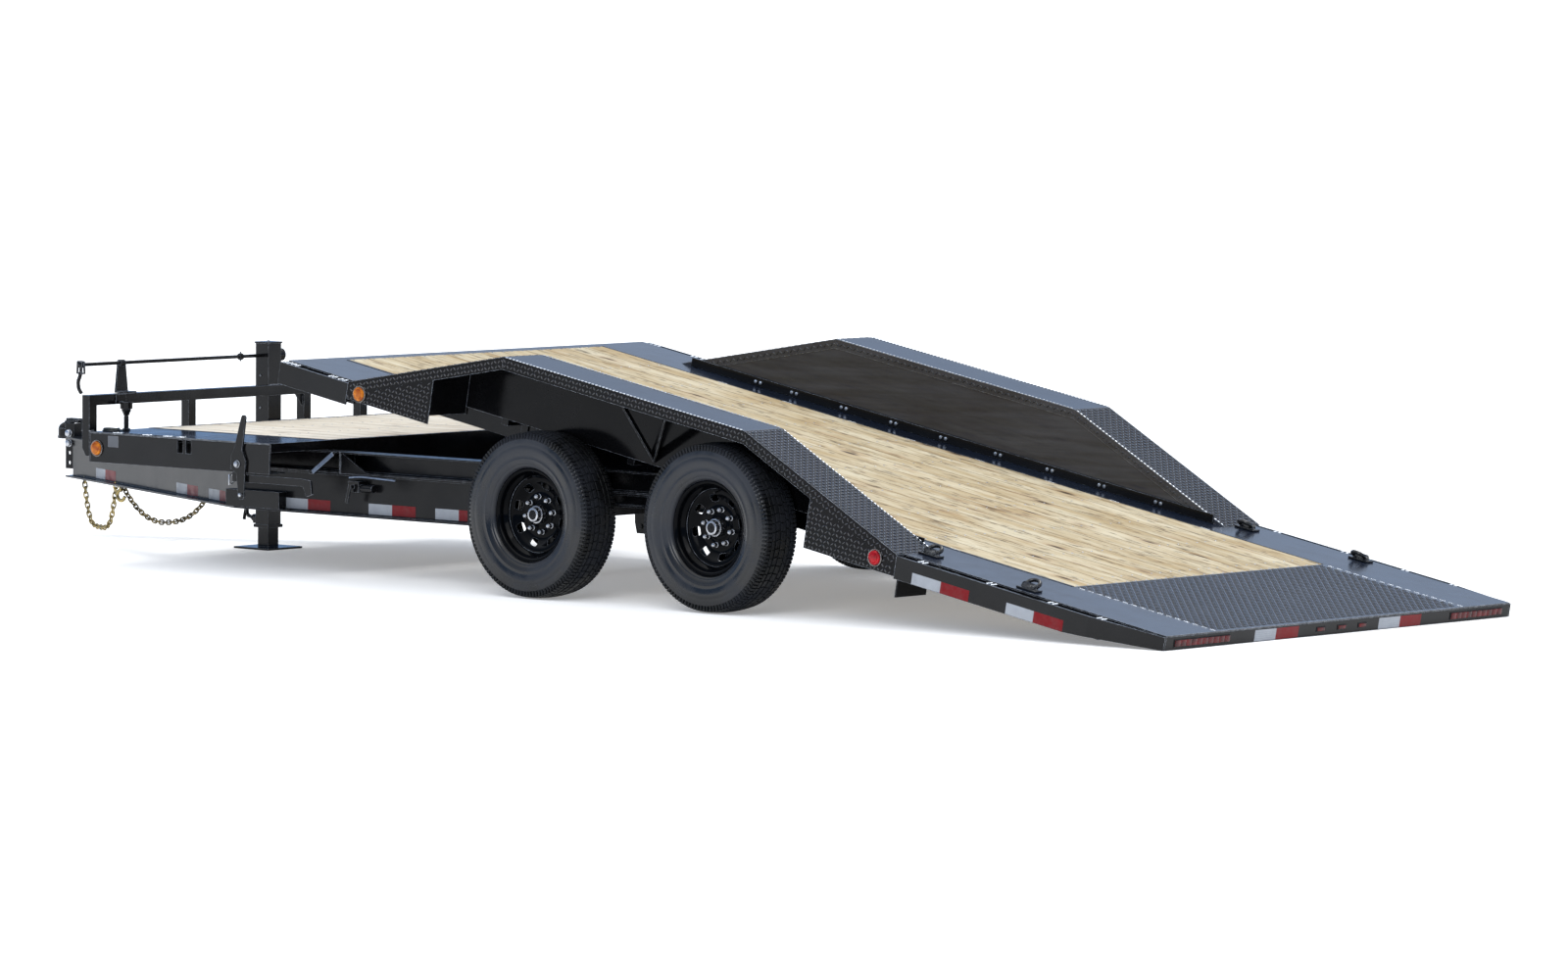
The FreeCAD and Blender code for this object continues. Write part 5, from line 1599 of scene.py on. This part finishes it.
@dataclass
class Lamps:
    """Round side lamps, bumper strips and the three small lights."""

    side_y: float = 1295.0
    radius: float = 41.0
    # X, Z, colour and body of each pair
    markers: tuple[tuple[float, float, str, str], ...] = (
        (1650.0, 600.0, "amber", "tilt_bed"), (-1610.0, 597.0, "red", "tilt_bed"), (3385.0, 562.0, "amber", "frame"))
    tail_face: float = -3251.0
    strip_y: Pair = (800.0, 1180.0)
    strip_cells: int = 10
    light_y: Triple = (-150.0, 0.0, 150.0)
    mid_z: float = 604.0

    def round_lamp(self) -> tuple[Piece, Piece]:
        """A lamp that looks along +Y: its bezel and its domed lens.

        Returns:
            Both pieces.
        """
        r = self.radius
        bezel = [(0.01, 0.2), (r, 0.2), (r, 5), (r - 1.5, 7.5), (r - 4, 8), (r - 6, 6.6), (r - 7.5, 6.4), (0.01, 6.4)]
        lens = [(0.01, 6.0), (r - 7.6, 6.0), (r - 8, 9.5), (r - 10, 13), (r - 14, 15.2), (r - 17, 16.2),
                (r - 18.4, 14.2), (r - 20, 16.8), (r - 26, 17.6), (r - 34, 18), (0.01, 18.1)]
        return smooth(turned("lamp_bezel", bezel, 48), 30), smooth(turned("lamp_lens", lens, 48), 30)

    def side_lamps(self) -> None:
        """Lamps on the outer bars, one piece for each body and finish."""
        groups: dict[tuple[str, str], list[Piece]] = {}
        for x, z, colour, body in self.markers:
            for side in Side:
                place = TURNS[body] @ Matrix.Translation(at(x, side.value * self.side_y, z)) @ side.turn
                for piece, kind in zip(self.round_lamp(), ("bezel", colour)):
                    piece.data.transform(place)
                    groups.setdefault((kind, body), []).append(piece)
        nodes = {("bezel", "tilt_bed"): ["fender_markers"], ("bezel", "frame"): ["front_markers"]}
        finishes = {"bezel": BEZEL, "amber": AMBER, "red": RED}
        for (kind, body), pieces in groups.items():
            dress(joined(f"side_lamp_{kind}_{body}", pieces), finishes[kind], body, *nodes.get((kind, body), []))

    def plate(self, near: float, far: float, y0: float, y1: float, half: float, *edge: float) -> Piece:
        """A flat block on the bumper.

        Args:
            near: How far its face stands off the bumper.
            far: How far its back does.
            y0: Its lower end along Y.
            y1: Its upper end.
            half: Half its height.
            edge: Width and steps of its bevel.

        Returns:
            The block.
        """
        face, z = self.tail_face, self.mid_z
        return block("lamp_plate", at(face - near, y0, z - half), at(face - far, y1, z + half), *edge)

    def tail_strips(self) -> None:
        """Long red strips and three small lights along the bumper."""
        cases, lenses = [], []
        for side in SIDES:
            y0, y1 = stretch(side, *self.strip_y)
            cases.append(self.plate(3, 0, y0 - 4, y1 + 4, 18, 0.0012))
            cell = (y1 - y0) / self.strip_cells
            for i in range(self.strip_cells):
                low = y0 + (y1 - y0) * i / self.strip_cells
                lenses.append(self.plate(6, 1, low + 0.2, low + cell - 0.2, 14, 0.0012))
        for y in self.light_y:
            cases.append(self.plate(2.5, 0, y - 32, y + 32, 12, 0.0012))
            lenses.append(self.plate(5, 1, y - 26, y + 26, 8, 0.002, 3))
        case, lens = joined("tail_lamp_cases", cases), joined("tail_lamp_lenses", lenses)
        for piece in (case, lens):
            piece.data.transform(BED_TURN)
        dress(case, CASE, "tilt_bed", "tail_lamps")
        dress(smooth(lens, 30), RED_STRIP, "tilt_bed")

    def build(self) -> None:
        """Place every lamp."""
        self.side_lamps()
        self.tail_strips()


@dataclass
class Fasteners:
    """Screws in the boards, two in each board at every crossmember."""

    board_half: float = 892.0
    boards: int = 13
    screw_gap: float = 38.0
    deck_z: float = 640.0
    bed_rows: tuple[float, ...] = (*range(2130, -2400, -406), 2130.0, -2420.0)
    front_rows: tuple[float, ...] = (2230.0, 2650.0, 3030.0, 3400.0)

    def build(self) -> None:
        """Put in the screws of both decks."""
        pitch = 2 * self.board_half / self.boards
        middles = [-self.board_half + (i + 0.5) * pitch for i in range(self.boards)]
        for name, rows, body in (("deck_screws", self.bed_rows, "tilt_bed"),
                                 ("front_deck_screws", self.front_rows, "frame")):
            places = [TURNS[body] @ Matrix.Translation(at(x, y + side, self.deck_z))
                      for x in rows for y in middles for side in (-self.screw_gap, self.screw_gap)]
            screw = drum("screw", mm(0, 0, -1), mm(0, 0, 1.2), 0.0055, 8, 0.0008, 1)
            dress(smooth(copies(name, screw, places), 40), SILVER, body)


@dataclass
class WeldBeads:
    """Weld ripples on the tail plate, in the side slots and on the frame, coloured bright as painted glints, and bolts
    at the walls' feet.
    """

    step: float = 6.5
    deck_z: float = 640.0
    slot_y: float = 1262.0
    spacers: tuple[float, ...] = (-2901.0, -2619.0, -2263.0, -1860.0, 1801.0, 1867.0, 2118.0, 2170.0)
    deck_spacers: tuple[float, ...] = (2839.0, 2932.0, 3074.0, 3278.0)
    wall_y: float = 1036.0
    wall_bolts: tuple[float, ...] = (-1330.0, -983.0, -660.0, -335.0, 13.0, 333.0, 655.0, 980.0, 1218.0)
    strip_height: float = 44.0
    tail_x: tuple[int, int] = (-3240, -2440)
    board_edge: float = 893.0
    board_x: tuple[float, ...] = (-1729.0, -1178.0, -779.0, -340.0, 99.0, 480.0, 900.0, 1330.0)
    # Start and end of the frame's seams on the left side
    frame_rows: tuple[tuple[Triple, Triple], ...] = (
        ((2016, 1006, 497), (2016, 1006, 595)), ((2024, 1006, 497), (2024, 1006, 595)),
        ((1832, 1004, 497), (2014, 1004, 497)), ((2090, 1004, 496), (2140, 1004, 496)),
        ((3440, 1271, 643), (3440, 1294, 643)), ((3490, 1271, 643), (3490, 1294, 643)))

    def drop(self, size: float) -> Piece:
        """One ripple of a bead, flattened onto its seam.

        Args:
            size: Its radius in millimetres.

        Returns:
            The ripple.
        """
        piece = primitive("weld_drop", "uv_sphere", segments=8, ring_count=5, radius=size * MM)
        with editing():
            bpy.ops.transform.resize(value=(0.85, 1.2, 0.8))
        return smooth(piece, 80)

    def seam(self, start: Triple, end: Triple, body: str) -> Places:
        """Places of the ripples along one seam.

        Args:
            start: Where it starts.
            end: Where it ends.
            body: The body that it is on.

        Returns:
            A matrix for each ripple.
        """
        first = at(*start)
        run = at(*end) - first
        count = max(2, int(run.length / (self.step * MM)))
        lie = run.to_track_quat("X", "Z").to_matrix().to_4x4()
        return [TURNS[body] @ Matrix.Translation(first + run * (i / count)) @ lie for i in range(count + 1)]

    def bed_seams(self) -> Places:
        """Seams of the tilt deck, along both edges of its boards.

        Returns:
            A matrix for each place.
        """
        spans = [(x, x + 24) for x in range(*self.tail_x, 50)] + [(x - 26, x + 26) for x in self.board_x]
        places: Places = []
        for side in SIDES:
            y = side * self.board_edge
            for x0, x1 in spans:
                places += self.seam((x0, y, self.deck_z), (x1, y, self.deck_z), "tilt_bed")
        return places

    def frame_seams(self) -> Places:
        """Seams of the fixed frame.

        Returns:
            A matrix for each place.
        """
        places: Places = []
        for side in SIDES:
            for (x0, y0, z0), (x1, y1, z1) in self.frame_rows:
                places += self.seam((x0, side * y0, z0), (x1, side * y1, z1), "frame")
        return places + self.seam((3470, -24, 816), (3470, 40, 816), "frame")

    def slot_gleams(self, spacers: Sequence[float], body: str, sunk: float) -> Places:
        """Places of the pairs of beads on the spacers in the side slots, coloured bright as painted glints.

        Args:
            spacers: The spacers' places along X.
            body: Their body.
            sunk: How far below the deck they are.

        Returns:
            A matrix for each ripple.
        """
        places: Places = []
        z = self.deck_z - sunk
        for x in spacers:
            for side in SIDES:
                near, far = side * (self.slot_y - 16), side * (self.slot_y + 16)
                for bead in (x - 13.0, x + 13.0):
                    places += self.seam((bead, near, z), (bead, far, z), body)
        return places

    def wall_feet(self) -> None:
        """A black strip along each wall's foot with bolts two by two."""
        strips, bolts = [], []
        for side in SIDES:
            y0, y1 = stretch(side, self.wall_y + 0.5, self.wall_y - 5)
            low, high = at(-1660, y0, self.deck_z + 1), at(1668, y1, self.deck_z + self.strip_height)
            strips.append(block("foot_strip", low, high, 0.0015))
            for x in self.wall_bolts:
                for bolt in (x - 16.0, x + 16.0):
                    start = at(bolt, side * (self.wall_y - 4), self.deck_z + 22)
                    bolts.append(drum("foot_bolt", start, start - mm(0, side * 9, 0), 0.010, 6, 0.002))
        for piece, finish in ((joined("wall_foot_strips", strips), BLACK),
                              (smooth(joined("wall_foot_bolts", bolts), 30), GLEAM)):
            piece.data.transform(BED_TURN)
            dress(piece, finish, "tilt_bed")

    def build(self) -> None:
        """Lay the beads of both bodies."""
        rows = (("bed_weld_beads", 3.6, self.bed_seams(), GLEAM, "tilt_bed"),
                ("frame_weld_beads", 4.0, self.frame_seams(), WELD_GLINT, "frame"),
                ("bed_slot_welds", 5.2, self.slot_gleams(self.spacers, "tilt_bed", 7.0), GLEAM, "tilt_bed"),
                ("deck_slot_welds", 5.2, self.slot_gleams(self.deck_spacers, "frame", 2.0), GLEAM, "frame"))
        for name, size, places, finish, body in rows:
            dress(copies(name, self.drop(size), places), finish, body)
        self.wall_feet()


@dataclass
class SideSpools:
    """Short pipes between the side plates and the outer bars, and dark strips of painted shade in the gaps at the
    boards' edges.
    """

    middle_y: float = 1262.5
    radius: float = 20.5
    wall: float = 4.0
    low: float = 548.0
    high: float = 627.0
    spool_x: tuple[float, ...] = (-2560.0, -2340.0, -2050.0, -1950.0, 1860.0, 2060.0)
    strip_y: Pair = (890.0, 901.0)
    strip_z: Pair = (638.5, 642.2)

    def spool(self) -> Piece:
        """One pipe, open through its middle.

        Returns:
            The piece.
        """
        outer, inner = self.radius, self.radius - self.wall
        low, high = self.low, self.high
        section = [(outer, low), (outer, high - 1), (outer - 1, high), (inner + 1, high), (inner, high - 1),
                   (inner, low)]
        pipe = turned("spool", section, 24)
        pipe.data.transform(STAND_UP)
        return smooth(pipe, 30)

    def strip(self, x0: float, x1: float, y0: float, y1: float) -> Piece:
        """A flat dark strip of painted shade on the deck between two places along X and two along Y."""
        return block("edge_strip", at(x0, y0, self.strip_z[0]), at(x1, y1, self.strip_z[1]))

    def gap_shade_strips(self, x0: float, x1: float) -> list[Piece]:
        """Dark strips of painted shade along both sides of the boards."""
        return [self.strip(x0, x1, *stretch(side, *self.strip_y)) for side in SIDES]

    def build(self) -> None:
        """Stand the spools in the slots and lay the strips of painted shade."""
        places = [BED_TURN @ Matrix.Translation(at(x, side * self.middle_y, 0)) for x in self.spool_x for side in SIDES]
        dress(copies("side_spools", self.spool(), places), BLACK, "tilt_bed")
        # dark strips of painted shade in the gaps beside the tilt deck's boards
        bed = joined("board_gap_shade", self.gap_shade_strips(-2428, 2138))
        bed.data.transform(BED_TURN)
        dress(bed, BLACK, "tilt_bed")
        # dark strips of painted shade along the front deck's sides and across its ends
        strips = self.gap_shade_strips(2210, 3430) + [self.strip(x, x + 11, -900, 900) for x in (2201, 3428)]
        dress(joined("front_deck_gap_shade", strips), BLACK, "frame")


@dataclass
class TieDowns:
    """Rope rings that lie back on their hinges at the bed's rear."""

    places: tuple[Pair, ...] = ((-2419.0, 1190.0), (-1790.0, 1130.0))
    deck_z: float = 640.0
    ring_radius: float = 33.0
    ring_wire: float = 9.6

    def unit(self) -> Piece:
        """One base with its hinge, ring and two bolts, standing at the origin.

        Returns:
            The piece.
        """
        base = block("tie_base", mm(-56, -26, 0.3), mm(56, 26, 10), 0.003, 3)
        hinge = drum("tie_hinge", mm(-36, 0, 16), mm(36, 0, 16), 0.017, 24, 0.004, 3)
        hoop = primitive("tie_ring", "torus", major_segments=36, minor_segments=12,
                         major_radius=self.ring_radius * MM, minor_radius=self.ring_wire * MM)
        with editing():
            bpy.ops.transform.resize(value=(1.0, 0.86, 1.0))
        lean = Vector((0, 0.62, 1)).to_track_quat("Z", "Y").to_matrix().to_4x4()
        hoop.data.transform(Matrix.Translation(mm(0, -22, 26)) @ lean)
        bolts = [drum("tie_bolt", mm(x, 0, 7), mm(x, 0, 13.5), 0.0085, 6, 0.0015) for x in (-40, 40)]
        return smooth(joined("tie_down", [base, hinge, hoop] + bolts), 35)

    def build(self) -> None:
        """Bolt them on at both sides."""
        mirror = Matrix.Diagonal((1, -1, 1, 1))
        places = []
        for x, y in self.places:
            place = Matrix.Translation(at(x, y, self.deck_z))
            places += [BED_TURN @ place, BED_TURN @ mirror @ place]
        dress(copies("tie_downs", self.unit(), places), FORGED, "tilt_bed", "tie_down_rings")


@dataclass
class JackFittings:
    """The crank with its folding handle, and what is bolted to the jack."""

    x: float = 3514.0
    crank_z: float = 960.0
    end_y: float = 1281.0
    half: float = 44.5
    pin_z: float = 147.0
    pin_bend: tuple[Pair, ...] = ((58.0, 0.0), (97.0, 5.0), (106.0, 40.0), (88.0, 78.0), (98.0, 62.0), (116.0, 34.0),
                                  (124.0, -12.0))
    handle_bend: tuple[Triple, ...] = ((0, 0, -34), (5, 1, -58), (16, 3, -78), (16, 2, -104), (13, 0, -122),
                                       (0, -4, -139))

    def clevis(self) -> Piece:
        """The D-shaped plate with two windows at the shaft's end.

        Returns:
            The piece.
        """
        piece = primitive("clevis", "grid", x_subdivisions=2, y_subdivisions=1, size=1.0)
        corners = {(-1, True): (-25.0, 18.0), (0, True): (0.0, 20.0), (1, True): (25.0, 18.0),
                   (-1, False): (-29.0, -45.0), (0, False): (0.0, -47.0), (1, False): (29.0, -45.0)}
        for vertex in piece.data.vertices:
            x, z = corners[round(vertex.co.x * 2), vertex.co.y > 0]
            vertex.co = mm(x, -5, z)
        with editing():
            bpy.ops.mesh.inset(thickness=0.0075, use_individual=True)
            bpy.ops.mesh.delete(type="FACE")
            bpy.ops.mesh.select_all(action="SELECT")
            bpy.ops.mesh.remove_doubles(threshold=1e-5)
            bpy.ops.mesh.select_all(action="SELECT")
            extrude(0, 10, 0)
            face_outward()
        apply(piece, "BEVEL", width=0.002, segments=2)
        piece.data.transform(Matrix.Translation(at(self.x, self.end_y, self.crank_z)))
        return piece

    def crank(self) -> Piece:
        """Shaft, stop collar, clevis and bent handle.

        Returns:
            The piece.
        """
        x, z, near, end = self.x, self.crank_z, self.half, self.end_y
        shaft, stop, pin, boss = drums((
            ("crank_shaft", (x, near + 0.3, z), (x, end, z), 0.009, 20, 0.0015),
            ("crank_stop", (x, near + 140, z), (x, near + 160, z), 0.017, 24, 0.003, 3),
            ("crank_stop_pin", (x, near + 150, z - 23), (x, near + 150, z + 23), 0.004, 10, 0.001),
            ("crank_boss", (x, end - 16, z), (x, end + 8, z), 0.016, 20, 0.002)))
        handle = tube("crank_handle", [at(x + dx, end + dy, z + dz) for dx, dy, dz in self.handle_bend], 0.0095)
        return smooth(joined("jack_crank_dressed", [shaft, stop, pin, self.clevis(), handle, boss]), 35)

    def bolts(self) -> Piece:
        """Heads round the gearbox and on the cap.

        Returns:
            The piece.
        """
        rows = []
        for i in range(4):
            turn = math.radians(45 + 90 * i)
            x, z = self.x + 24 * math.cos(turn), self.crank_z + 24 * math.sin(turn)
            rows.append(("gear_bolt", (x, -self.half - 45, z), (x, -self.half - 50, z), 0.0055, 6, 0.001))
        for offset in (-26, 26):
            x, y = self.x + offset, -offset
            rows.append(("cap_bolt", (x, y, 1027), (x, y, 1033), 0.007, 6, 0.0012))
        for z in (860.0, 700.0):
            x = self.x + 10
            rows.append(("side_bolt", (x, self.half - 0.5, z), (x, self.half + 4, z), 0.006, 6, 0.001))
        return joined("jack_bolts", drums(rows))

    def pull_pin(self) -> Piece:
        """The leg's pull pin: its block, its sleeve and the bent bar that pulls it.

        Returns:
            The piece.
        """
        x, z = self.x + self.half, self.pin_z
        holder = block("pin_block", at(x + 6, -19, z - 26), at(x + 46, 19, z + 20), 0.003, 3)
        sleeve = drum("pin_sleeve", at(x + 44, 0, z), at(x + 60, 0, z), 0.0175, 24, 0.002)
        pull = tube("pin_bar", [at(x + dx, 0, z + dz) for dx, dz in self.pin_bend], 0.009)
        return smooth(joined("jack_pull_pin", [holder, sleeve, pull]), 35)

    def build(self) -> None:
        """Fit the crank, the pull pin and the bolts."""
        dress(self.pull_pin(), BLACK, "frame")
        dress(self.crank(), BLACK, "frame", "jack_crank")
        dress(smooth(self.bolts(), 30), GALVANIZED, "frame")


@dataclass
class FrontFittings:
    """Coupler bolts and latch, chain hook, latch hardware and the blank plate at the front corner."""

    coupler_x: float = 4850.0
    channel_half: float = 55.0
    hook_place: Triple = (4198.0, 352.0, 244.0)
    hook_radius: float = 27.0
    lever_place: Pair = (2412.0, 534.0)
    strap_place: Triple = (2130.0, 1016.8, 540.0)
    strap_rise: Pair = (112.0, -162.0)
    hose_bend: tuple[Triple, ...] = ((1960, 1007, 478), (1900, 1010, 486), (1820, 1008, 484), (1720, 1007, 480),
                                     (1660, 1003, 478))

    def coupler_bolts(self) -> Piece:
        """Large hexagon heads and nuts with washers.

        Returns:
            The piece.
        """
        rows = []
        x = self.coupler_x + 34
        for z in (460.0, 510.0):
            for side in SIDES:
                y = side * self.channel_half
                rows += [("washer", (x, y, z), (x, y + side * 3, z), 0.020, 24, 0.001),
                         ("bolt_head", (x, y + side * 2.5, z), (x, y + side * 15.5, z), 0.0185, 6, 0.0025)]
        return smooth(joined("coupler_bolts", drums(rows)), 30)

    def coupler_latch(self) -> Piece:
        """The latch handle over the socket and its safety pin.

        Returns:
            The piece.
        """
        x = self.coupler_x
        hinge = drum("latch_hinge", at(x + 78, -34, 540), at(x + 78, 34, 540), 0.008, 18)
        rows = [("latch_lever", (x + 6, -19, 560), (x + 96, 19, 577), 0.006, 3),
                ("latch_nose", (x + 88, -14, 538), (x + 118, 14, 570), 0.009, 4)]
        rows += [("latch_rib", (x + 11 + 11 * i, -22, 562), (x + 16 + 11 * i, 22, 583), 0.002) for i in range(8)]
        for y0, y1 in (stretch(side, 30, 36) for side in reversed(SIDES)):
            rows += [("hood_rib", (x + 52 + 22 * i, y0, 500), (x + 58 + 22 * i, y1, 534), 0.002) for i in range(3)]
        rows.append(("latch_cheek", (x + 66, -16, 534), (x + 106, 16, 566), 0.004, 3))
        *lever, cheek = blocks(rows)
        collar = turned("socket_collar", [(42.2, -4), (45, -3), (45.5, 6), (42.2, 8)], 40)
        collar.data.transform(Matrix.Translation(at(x + 112, 0, 484)) @ STAND_UP)
        return smooth(joined("coupler_latch", [hinge, cheek, collar] + lever), 35)

    def hook(self) -> Piece:
        """A grab hook at the end of the left chain, its eye above it.

        Returns:
            The piece.
        """
        x, y, z = self.hook_place
        turns = [math.radians(100 - 27 * i) for i in range(11)]
        radius = self.hook_radius
        hook = tube("hook", [at(x + radius * math.cos(turn), y, z + radius * math.sin(turn)) for turn in turns], 0.0092)
        eye = tube("hook_eye", loop(x - 3, y, z + 40, 11, 13, 10), 0.0056, True)
        return smooth(joined("chain_hook", [hook, eye]), 60)

    def latch_hardware(self) -> Piece:
        """Silver clamp and bolt heads at the hold-down lever.

        Returns:
            The piece.
        """
        x, z = self.lever_place
        foot, screw = z - 146, x + 62
        parts = drums((("lever_bolt", (x, 1311, z), (x, 1322, z), 0.0135, 6, 0.002),
                       ("lever_washer", (x, 1307.5, z), (x, 1311.5, z), 0.018, 24, 0.001),
                       ("lever_foot_bolt", (x - 24, 1307, foot), (x - 24, 1319, foot), 0.0095, 6, 0.0015)))
        clamp = tube("clamp", loop(screw, 1287, z - 76, 14, 24, 12), 0.0035, True)
        parts += [clamp, drum("clamp_screw", at(screw, 1300, z - 104), at(screw, 1300, z - 52), 0.004, 12)]
        return smooth(joined("latch_hardware", parts), 35)

    def strap(self) -> Piece:
        """A painted sheen: a blue-grey face laid on the black diagonal strap at the deck's rear.

        Returns:
            The piece.
        """
        face = block("strap_sheen", mm(-10, -0.8, -84), mm(10, 0.8, 84), 0.0005, 1)
        lean = math.atan2(self.strap_rise[1], self.strap_rise[0])
        face.data.transform(Matrix.Translation(at(*self.strap_place)) @ Matrix.Rotation(lean, 4, "Y"))
        return face

    def build(self) -> None:
        """Fit all of it."""
        dress(self.strap(), STRAP_SHEEN, "frame")
        # the hose is coloured with the same painted sheen
        dress(smooth(tube("valve_hose", [at(*place) for place in self.hose_bend], 0.0042), 60), STRAP_SHEEN, "frame")
        dress(self.coupler_bolts(), SILVER, "frame")
        dress(self.coupler_latch(), BLACK, "frame")
        dress(self.hook(), GOLD_ZINC, "frame")
        dress(self.latch_hardware(), SILVER, "frame")
        dress(block("blank_plate", at(3238, 1294.8, 572), at(3310, 1296.4, 626), 0.0006), GREY_SHEET, "frame")


@dataclass
class PlugAndCable:
    """Wiring plug with its ribbed loom, and the breakaway cable that lies coiled on the deck."""

    plug: Pair = (3398.0, 1088.0)
    plug_top: float = 771.0
    plug_low: float = 712.0
    plug_radius: float = 24.0
    loom_radius: float = 13.0
    loom_low: float = 648.0
    coil: Pair = (3392.0, 1193.0)
    turn_radii: Pair = (43.0, 39.0)
    turn_heights: Pair = (644.3, 652.3)
    turn_points: int = 12
    tail: float = 58.0
    tail_y: float = 1151.0
    cable_radius: float = 4.0
    cable_length: float = 0.55

    def upright(self, name: str, section: Sequence[Pair], steps: int, degrees: float) -> Piece:
        """Spin a section round the plug's upright axis.

        Args:
            name: Name of the piece.
            section: Radius and height of each corner, in millimetres.
            steps: Steps round the axis.
            degrees: Angle up to which it is shaded smooth.

        Returns:
            The piece in its place.
        """
        piece = turned(name, section, steps)
        piece.data.transform(Matrix.Translation(at(*self.plug, 0)) @ STAND_UP)
        return smooth(piece, degrees)

    def plug_body(self) -> Piece:
        """The plug with finger ribs and a tapered boot.

        Returns:
            The piece.
        """
        top, low, r = self.plug_top, self.plug_low, self.plug_radius
        section = [(0.2, top), (r - 2, top), (r, top - 2), (r, top - 20)]
        for i in range(3):
            z = top - 21 - i * 5.5
            section += [(r, z), (r - 1.6, z - 0.8), (r - 1.6, z - 3.2), (r, z - 4)]
        section += [(r - 1, top - 38), (r - 4, top - 41), (self.loom_radius + 1, low + 1), (self.loom_radius, low),
                    (0.2, low)]
        return self.upright("plug_body", section, 40, 35)

    def loom(self) -> Piece:
        """Ribbed sleeve between the grommet and the plug's boot.

        Returns:
            The piece.
        """
        r, z = self.loom_radius, self.loom_low
        section = [(r - 3, z)]
        while z + 4 < self.plug_low:
            section += [(r - 1.6, z + 0.3), (r, z + 1.1), (r, z + 2.4), (r - 1.6, z + 3.2)]
            z += 4.0
        return self.upright("plug_sleeve", section + [(r - 3, self.plug_low)], 28, 40)

    def cable(self) -> Piece:
        """The cable: a short tail from its clamp and two turns, one on the other.

        Returns:
            The piece.
        """
        x, y = self.coil
        (wide, narrow), (low, high) = self.turn_radii, self.turn_heights
        points = [at(x - self.tail, self.tail_y, low), at(x - self.tail * 0.55, self.tail_y, low),
                  at(x - 20, self.tail_y - 0.6, low)]
        count = self.turn_points * 2
        for i in range(count):
            turn = math.radians(-90 + 18 + 360 * i / self.turn_points)
            lift = min(max((i / (count - 1) - 0.36) / 0.24, 0.0), 1.0)
            radius = wide + (narrow - wide) * lift
            points.append(at(x + radius * math.cos(turn), y + radius * math.sin(turn), low + (high - low) * lift))
        return bent_line("breakaway_cable_coiled", points, self.cable_radius * MM, sides=5, steps=8)

    def build(self) -> None:
        """Fit the plug and lay the cable."""
        dress(self.plug_body(), PLUG_RUBBER, "frame", "wiring_plug")
        dress(self.loom(), PLUG_RUBBER, "frame", "plug_loom")
        cable = self.cable()
        dress(cable, CABLE, "frame", "breakaway_coil", "breakaway_cable")


# Studio


@dataclass
class Studio:
    """Pale floor, soft light and the camera at the photo's place."""

    camera_place: Triple = (-26.660, 29.225, 3.236)
    # Heading, pitch and roll in degrees
    camera_turn: Triple = (-48.493, -4.059, 0.372)
    focal_px: float = 8508.0
    frame_px: float = 1600.0
    sensor: float = 36.0
    floor_size: float = 900.0
    sun_from: Triple = (0.10, -0.42, 1.0)
    panel_place: Triple = (-8.0, 12.0, 9.0)

    def floor(self) -> None:
        """A wide pale floor under the trailer."""
        piece = primitive("studio_floor", "grid", x_subdivisions=4, y_subdivisions=4, size=self.floor_size)
        piece.data.materials.append(StudioFloor("studio_floor", Slot.STEEL).material())

    def world(self) -> None:
        """Soft surrounding light, bluer near the horizon than the camera's pale background."""
        world = bpy.data.worlds.new("studio_world")
        bpy.context.scene.world = world
        world.use_nodes = True
        world.node_tree.nodes.clear()
        graph = Graph(world.node_tree)
        height = graph.spread(graph.axis("Generated", "Z"), 0.09, 0.85)
        sky = graph.blend(height, (0.25, 0.43, 0.76, 1), (1.45, 1.47, 1.48, 1))
        seen = graph.blend(graph.add("LightPath").outputs["Is Camera Ray"], sky, (1.0, 1.0, 1.0, 1))
        background = graph.add("Background", Color=seen, Strength=0.9)
        graph.add("OutputWorld", Surface=background.outputs[0])

    def lights(self) -> None:
        """A soft sun from high up and a wide soft panel."""
        sun = bpy.data.lights.new("soft_sun", "SUN")
        sun.energy = 1.25
        sun.angle = math.radians(32)
        sun.color = (1.0, 0.985, 0.96)
        shown("soft_sun", sun).rotation_euler = Vector(self.sun_from).to_track_quat("Z", "Y").to_euler()
        panel = bpy.data.lights.new("near_panel", "AREA")
        panel.energy = 900
        panel.size = 9.0
        light = shown("near_panel", panel)
        light.location = self.panel_place
        light.rotation_euler = (Vector(self.panel_place) - Vector((0, 0, 0.5))).to_track_quat("Z", "Y").to_euler()

    def camera(self) -> None:
        """The camera, turned and rolled as the photo was taken."""
        heading, pitch, roll = (math.radians(value) for value in self.camera_turn)
        level = math.cos(pitch)
        ahead = Vector((math.cos(heading) * level, math.sin(heading) * level, math.sin(pitch)))
        right = ahead.cross(UP).normalized()
        above = right.cross(ahead)
        data = bpy.data.cameras.new("photo_camera")
        data.sensor_width = self.sensor
        data.lens = self.sensor * self.focal_px / self.frame_px
        data.clip_start = 0.5
        data.clip_end = 2000.0
        camera = shown("photo_camera", data)
        rolled_right = right * math.cos(roll) + above * math.sin(roll)
        rolled_above = above * math.cos(roll) - right * math.sin(roll)
        camera.matrix_world = Matrix.Translation(self.camera_place) @ axes(rolled_right, rolled_above, -ahead)
        bpy.context.scene.camera = camera

    def build(self) -> None:
        """Set the stage."""
        self.camera()
        self.floor()
        self.world()
        self.lights()
        bpy.context.scene.view_settings.view_transform = "Standard"


def main() -> None:
    """Build the trailer's sub-assemblies in order."""
    logging.basicConfig(level=logging.INFO, format="%(message)s")
    for part in (Studio(), CadFinishes(), RoadWheels(), DiamondTread(), SafetyChains(), TapeStrips(), Lamps(),
                 Fasteners(), WeldBeads(), SideSpools(), TieDowns(), JackFittings(), FrontFittings(), PlugAndCable()):
        log.info("building %s", type(part).__name__)
        part.build()


if __name__ == "__main__":
    main()
